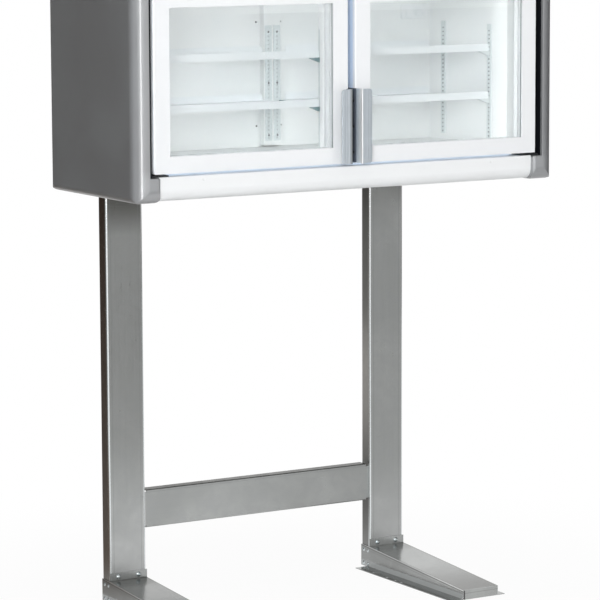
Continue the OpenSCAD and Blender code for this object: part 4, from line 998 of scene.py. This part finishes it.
# the edge of the left door beside the end cap
cabinet_lamp("Edge_lamp_left", (0.003, 0.41), 0.013, (-0.5585, -0.2345, OPENING_Z), (1.0, 0.0, 0.0),
             (0.88, 0.94, 1.0))
# behind the doors' lower edge, so that the slot over the rail isn't black
cabinet_lamp("Seam_lamp", (1.0, 0.004), 0.05, (0.0, -0.188, 1.1305), (0.0, -1.0, -0.3), (0.66, 0.80, 1.0))


def studio_world():
    """White for the camera, for gloss and through glass; a low even light for everything else.

    For gloss it dims overhead, as a studio's ceiling does."""
    world = bpy.data.worlds.new("Studio")
    bpy.context.scene.world = world
    net = cleared(world, "ShaderNodeOutputWorld")
    rays = net.rays()
    seen = rays["Is Camera Ray"] | (rays["Is Glossy Ray"] | rays["Is Transmission Ray"])
    high = net.axes(net.value("ShaderNodeTexCoord", None, None, "Generated"))[2]
    strength = seen.to(0.22, 1.0) - high.ease(0.45, 0.85, 0.0, 0.75) * rays["Is Glossy Ray"]
    net.surface(net.value("ShaderNodeBackground", None, {"Color": (1, 1, 1), "Strength": strength}))


studio_world()


def stage_piece(name, verts, faces, mat):
    """A piece of the studio."""
    mesh = bpy.data.meshes.new(name)
    mesh.from_pydata(verts.reshape(-1, 3).tolist(), [], faces.tolist())
    mesh.update()
    obj = link(name, mesh)
    obj.data.materials.append(mat)
    return obj


TOWARD_X, TOWARD_Y = 0.515, 0.857    # the camera's direction over the floor


@finish
def floor_paint(net):
    """Pale floor: lit and faintly shadowed near the object, plain white farther out for camera and glass rays.

    For gloss it is white towards the camera's side and behind, falls off to grey on the right and is dim and
    warm at the back left, as a floor does between white screens and an unlit room."""
    x, y, z = net.place()
    rays = net.rays()
    tone = net.shared(MOTTLE, Scale=2.0).blend((0.88,) * 3, (0.90,) * 3)
    lit = net.value("ShaderNodeBsdfDiffuse", None, {"Color": rays["Is Diffuse Ray"].blend(tone, (0.86,) * 3)})
    ahead, aside = x * TOWARD_X - y * TOWARD_Y, x * TOWARD_Y + y * TOWARD_X
    grey = aside.ramp(-0.1, 0.4).blend((0.21, 0.212, 0.212), (0.52, 0.52, 0.515))
    near = aside.ramp(0.22, 0.45).blend((0.93,) * 3, (0.68,) * 3)
    front = ahead.ease(0.7, 3.0).blend(near, grey)
    front = aside.ease(-1.2, -0.55).blend((1.0,) * 3, front)
    dim = aside.ramp(-0.1, 0.4).blend((0.11, 0.080, 0.060), (0.23, 0.225, 0.22))
    rear = (ahead * -1.0).ease(0.2, 0.9).blend((0.66,) * 3, dim)
    rear = aside.ease(0.8, 1.4).blend(rear, (0.9,) * 3)
    shine = ahead.ease(-0.12, 0.22).blend(rear, front)
    far = (x ** 2.0 + y ** 2.0).root().ease(0.4, 1.6, 0.95, 1.0)
    plain = net.both((rays["Is Camera Ray"] | rays["Is Transmission Ray"]) * far, lit, net.emission((1, 1, 1)))
    net.surface(net.both(rays["Is Glossy Ray"], plain, net.emission(shine)))


u = np.linspace(-1, 1, 41)
gx, gy = np.meshgrid(30 * u ** 3, 30 * u ** 3, indexing="ij")
stage_piece("Floor", np.stack([gx, gy, np.zeros_like(gx)], -1), grid_faces(41, 41), floor_paint("Floor_paint"))


@finish
def felt(net, az, height, tones, soft, rise, low=0.15):
    """Glowing felt whose tone runs from one of tones to the next: (azimuth, grey at the floor, grey over it, warmth).
    The tone changes over the heights in rise. It is see-through up to low, at its rim and over soft degrees at its
    ends."""
    middle = (az[0] + az[1]) / 2
    x, y, z = net.axes(net.value("ShaderNodeVectorRotate", {"rotation_type": "Z_AXIS"},
                                 {"Vector": net.at, "Angle": math.radians(-middle)}))
    turn = net.math("ARCTAN2", x, y * -1.0) * (180.0 / math.pi) + middle
    body = z.ease(0.0, low) * z.ease(height * 0.7, height, 1.0, 0.0)
    body = body * turn.ease(az[0], az[0] + soft[0]) * turn.ease(az[1] - soft[1], az[1], 1.0, 0.0)
    sides = []
    for part in (1, 2):
        shade = [(t[part] * (1 + t[3]), t[part], t[part] * (1 - t[3])) for t in tones]
        tone = shade[0]
        for k in range(1, len(tones)):
            tone = turn.ease(tones[k - 1][0], tones[k][0]).blend(tone, shade[k])
        sides.append(tone)
    glow = net.emission(z.ease(*rise).blend(*sides))
    net.surface(net.both(body, net.value("ShaderNodeBsdfTransparent", None, None), glow))


def felt_board(name, az, radius, height, *look):
    """Curved board that only gloss sees: a cylinder's arc from az[0] to az[1], in felt of this look."""
    turn, z = np.meshgrid(np.radians(np.linspace(*az, 33)), np.linspace(0.0, height, 9), indexing="ij")
    board = stage_piece(name, np.stack([radius * np.sin(turn), -radius * np.cos(turn), z + 0.002], -1),
                        grid_faces(33, 9), felt(name + "_felt", az, height, *look))
    board.visible_camera = board.visible_diffuse = board.visible_transmission = board.visible_shadow = False


felt_board("Right_board", (3, 132), 4.6, 7.0,
           [(12, 0.10, 0.80, 0.0), (25, 0.10, 0.80, 0.0), (34, 0.52, 0.80, 0.0), (50, 0.20, 0.34, 0.0),
            (75, 0.06, 0.07, 0.0)], (10, 20), (0.2, 0.8))
felt_board("Back_left_board", (-192, -52), 1.9, 2.8,
           [(-172, 0.75, 0.15, 0.02), (-150, 0.07, 0.025, 0.3), (-138, 0.07, 0.055, 0.1), (-112, 0.20, 0.14, 0.0),
            (-76, 0.85, 0.70, -0.03)], (10, 34), (0.1, 0.9))

view = bpy.context.scene.view_settings
view.view_transform = "Standard"
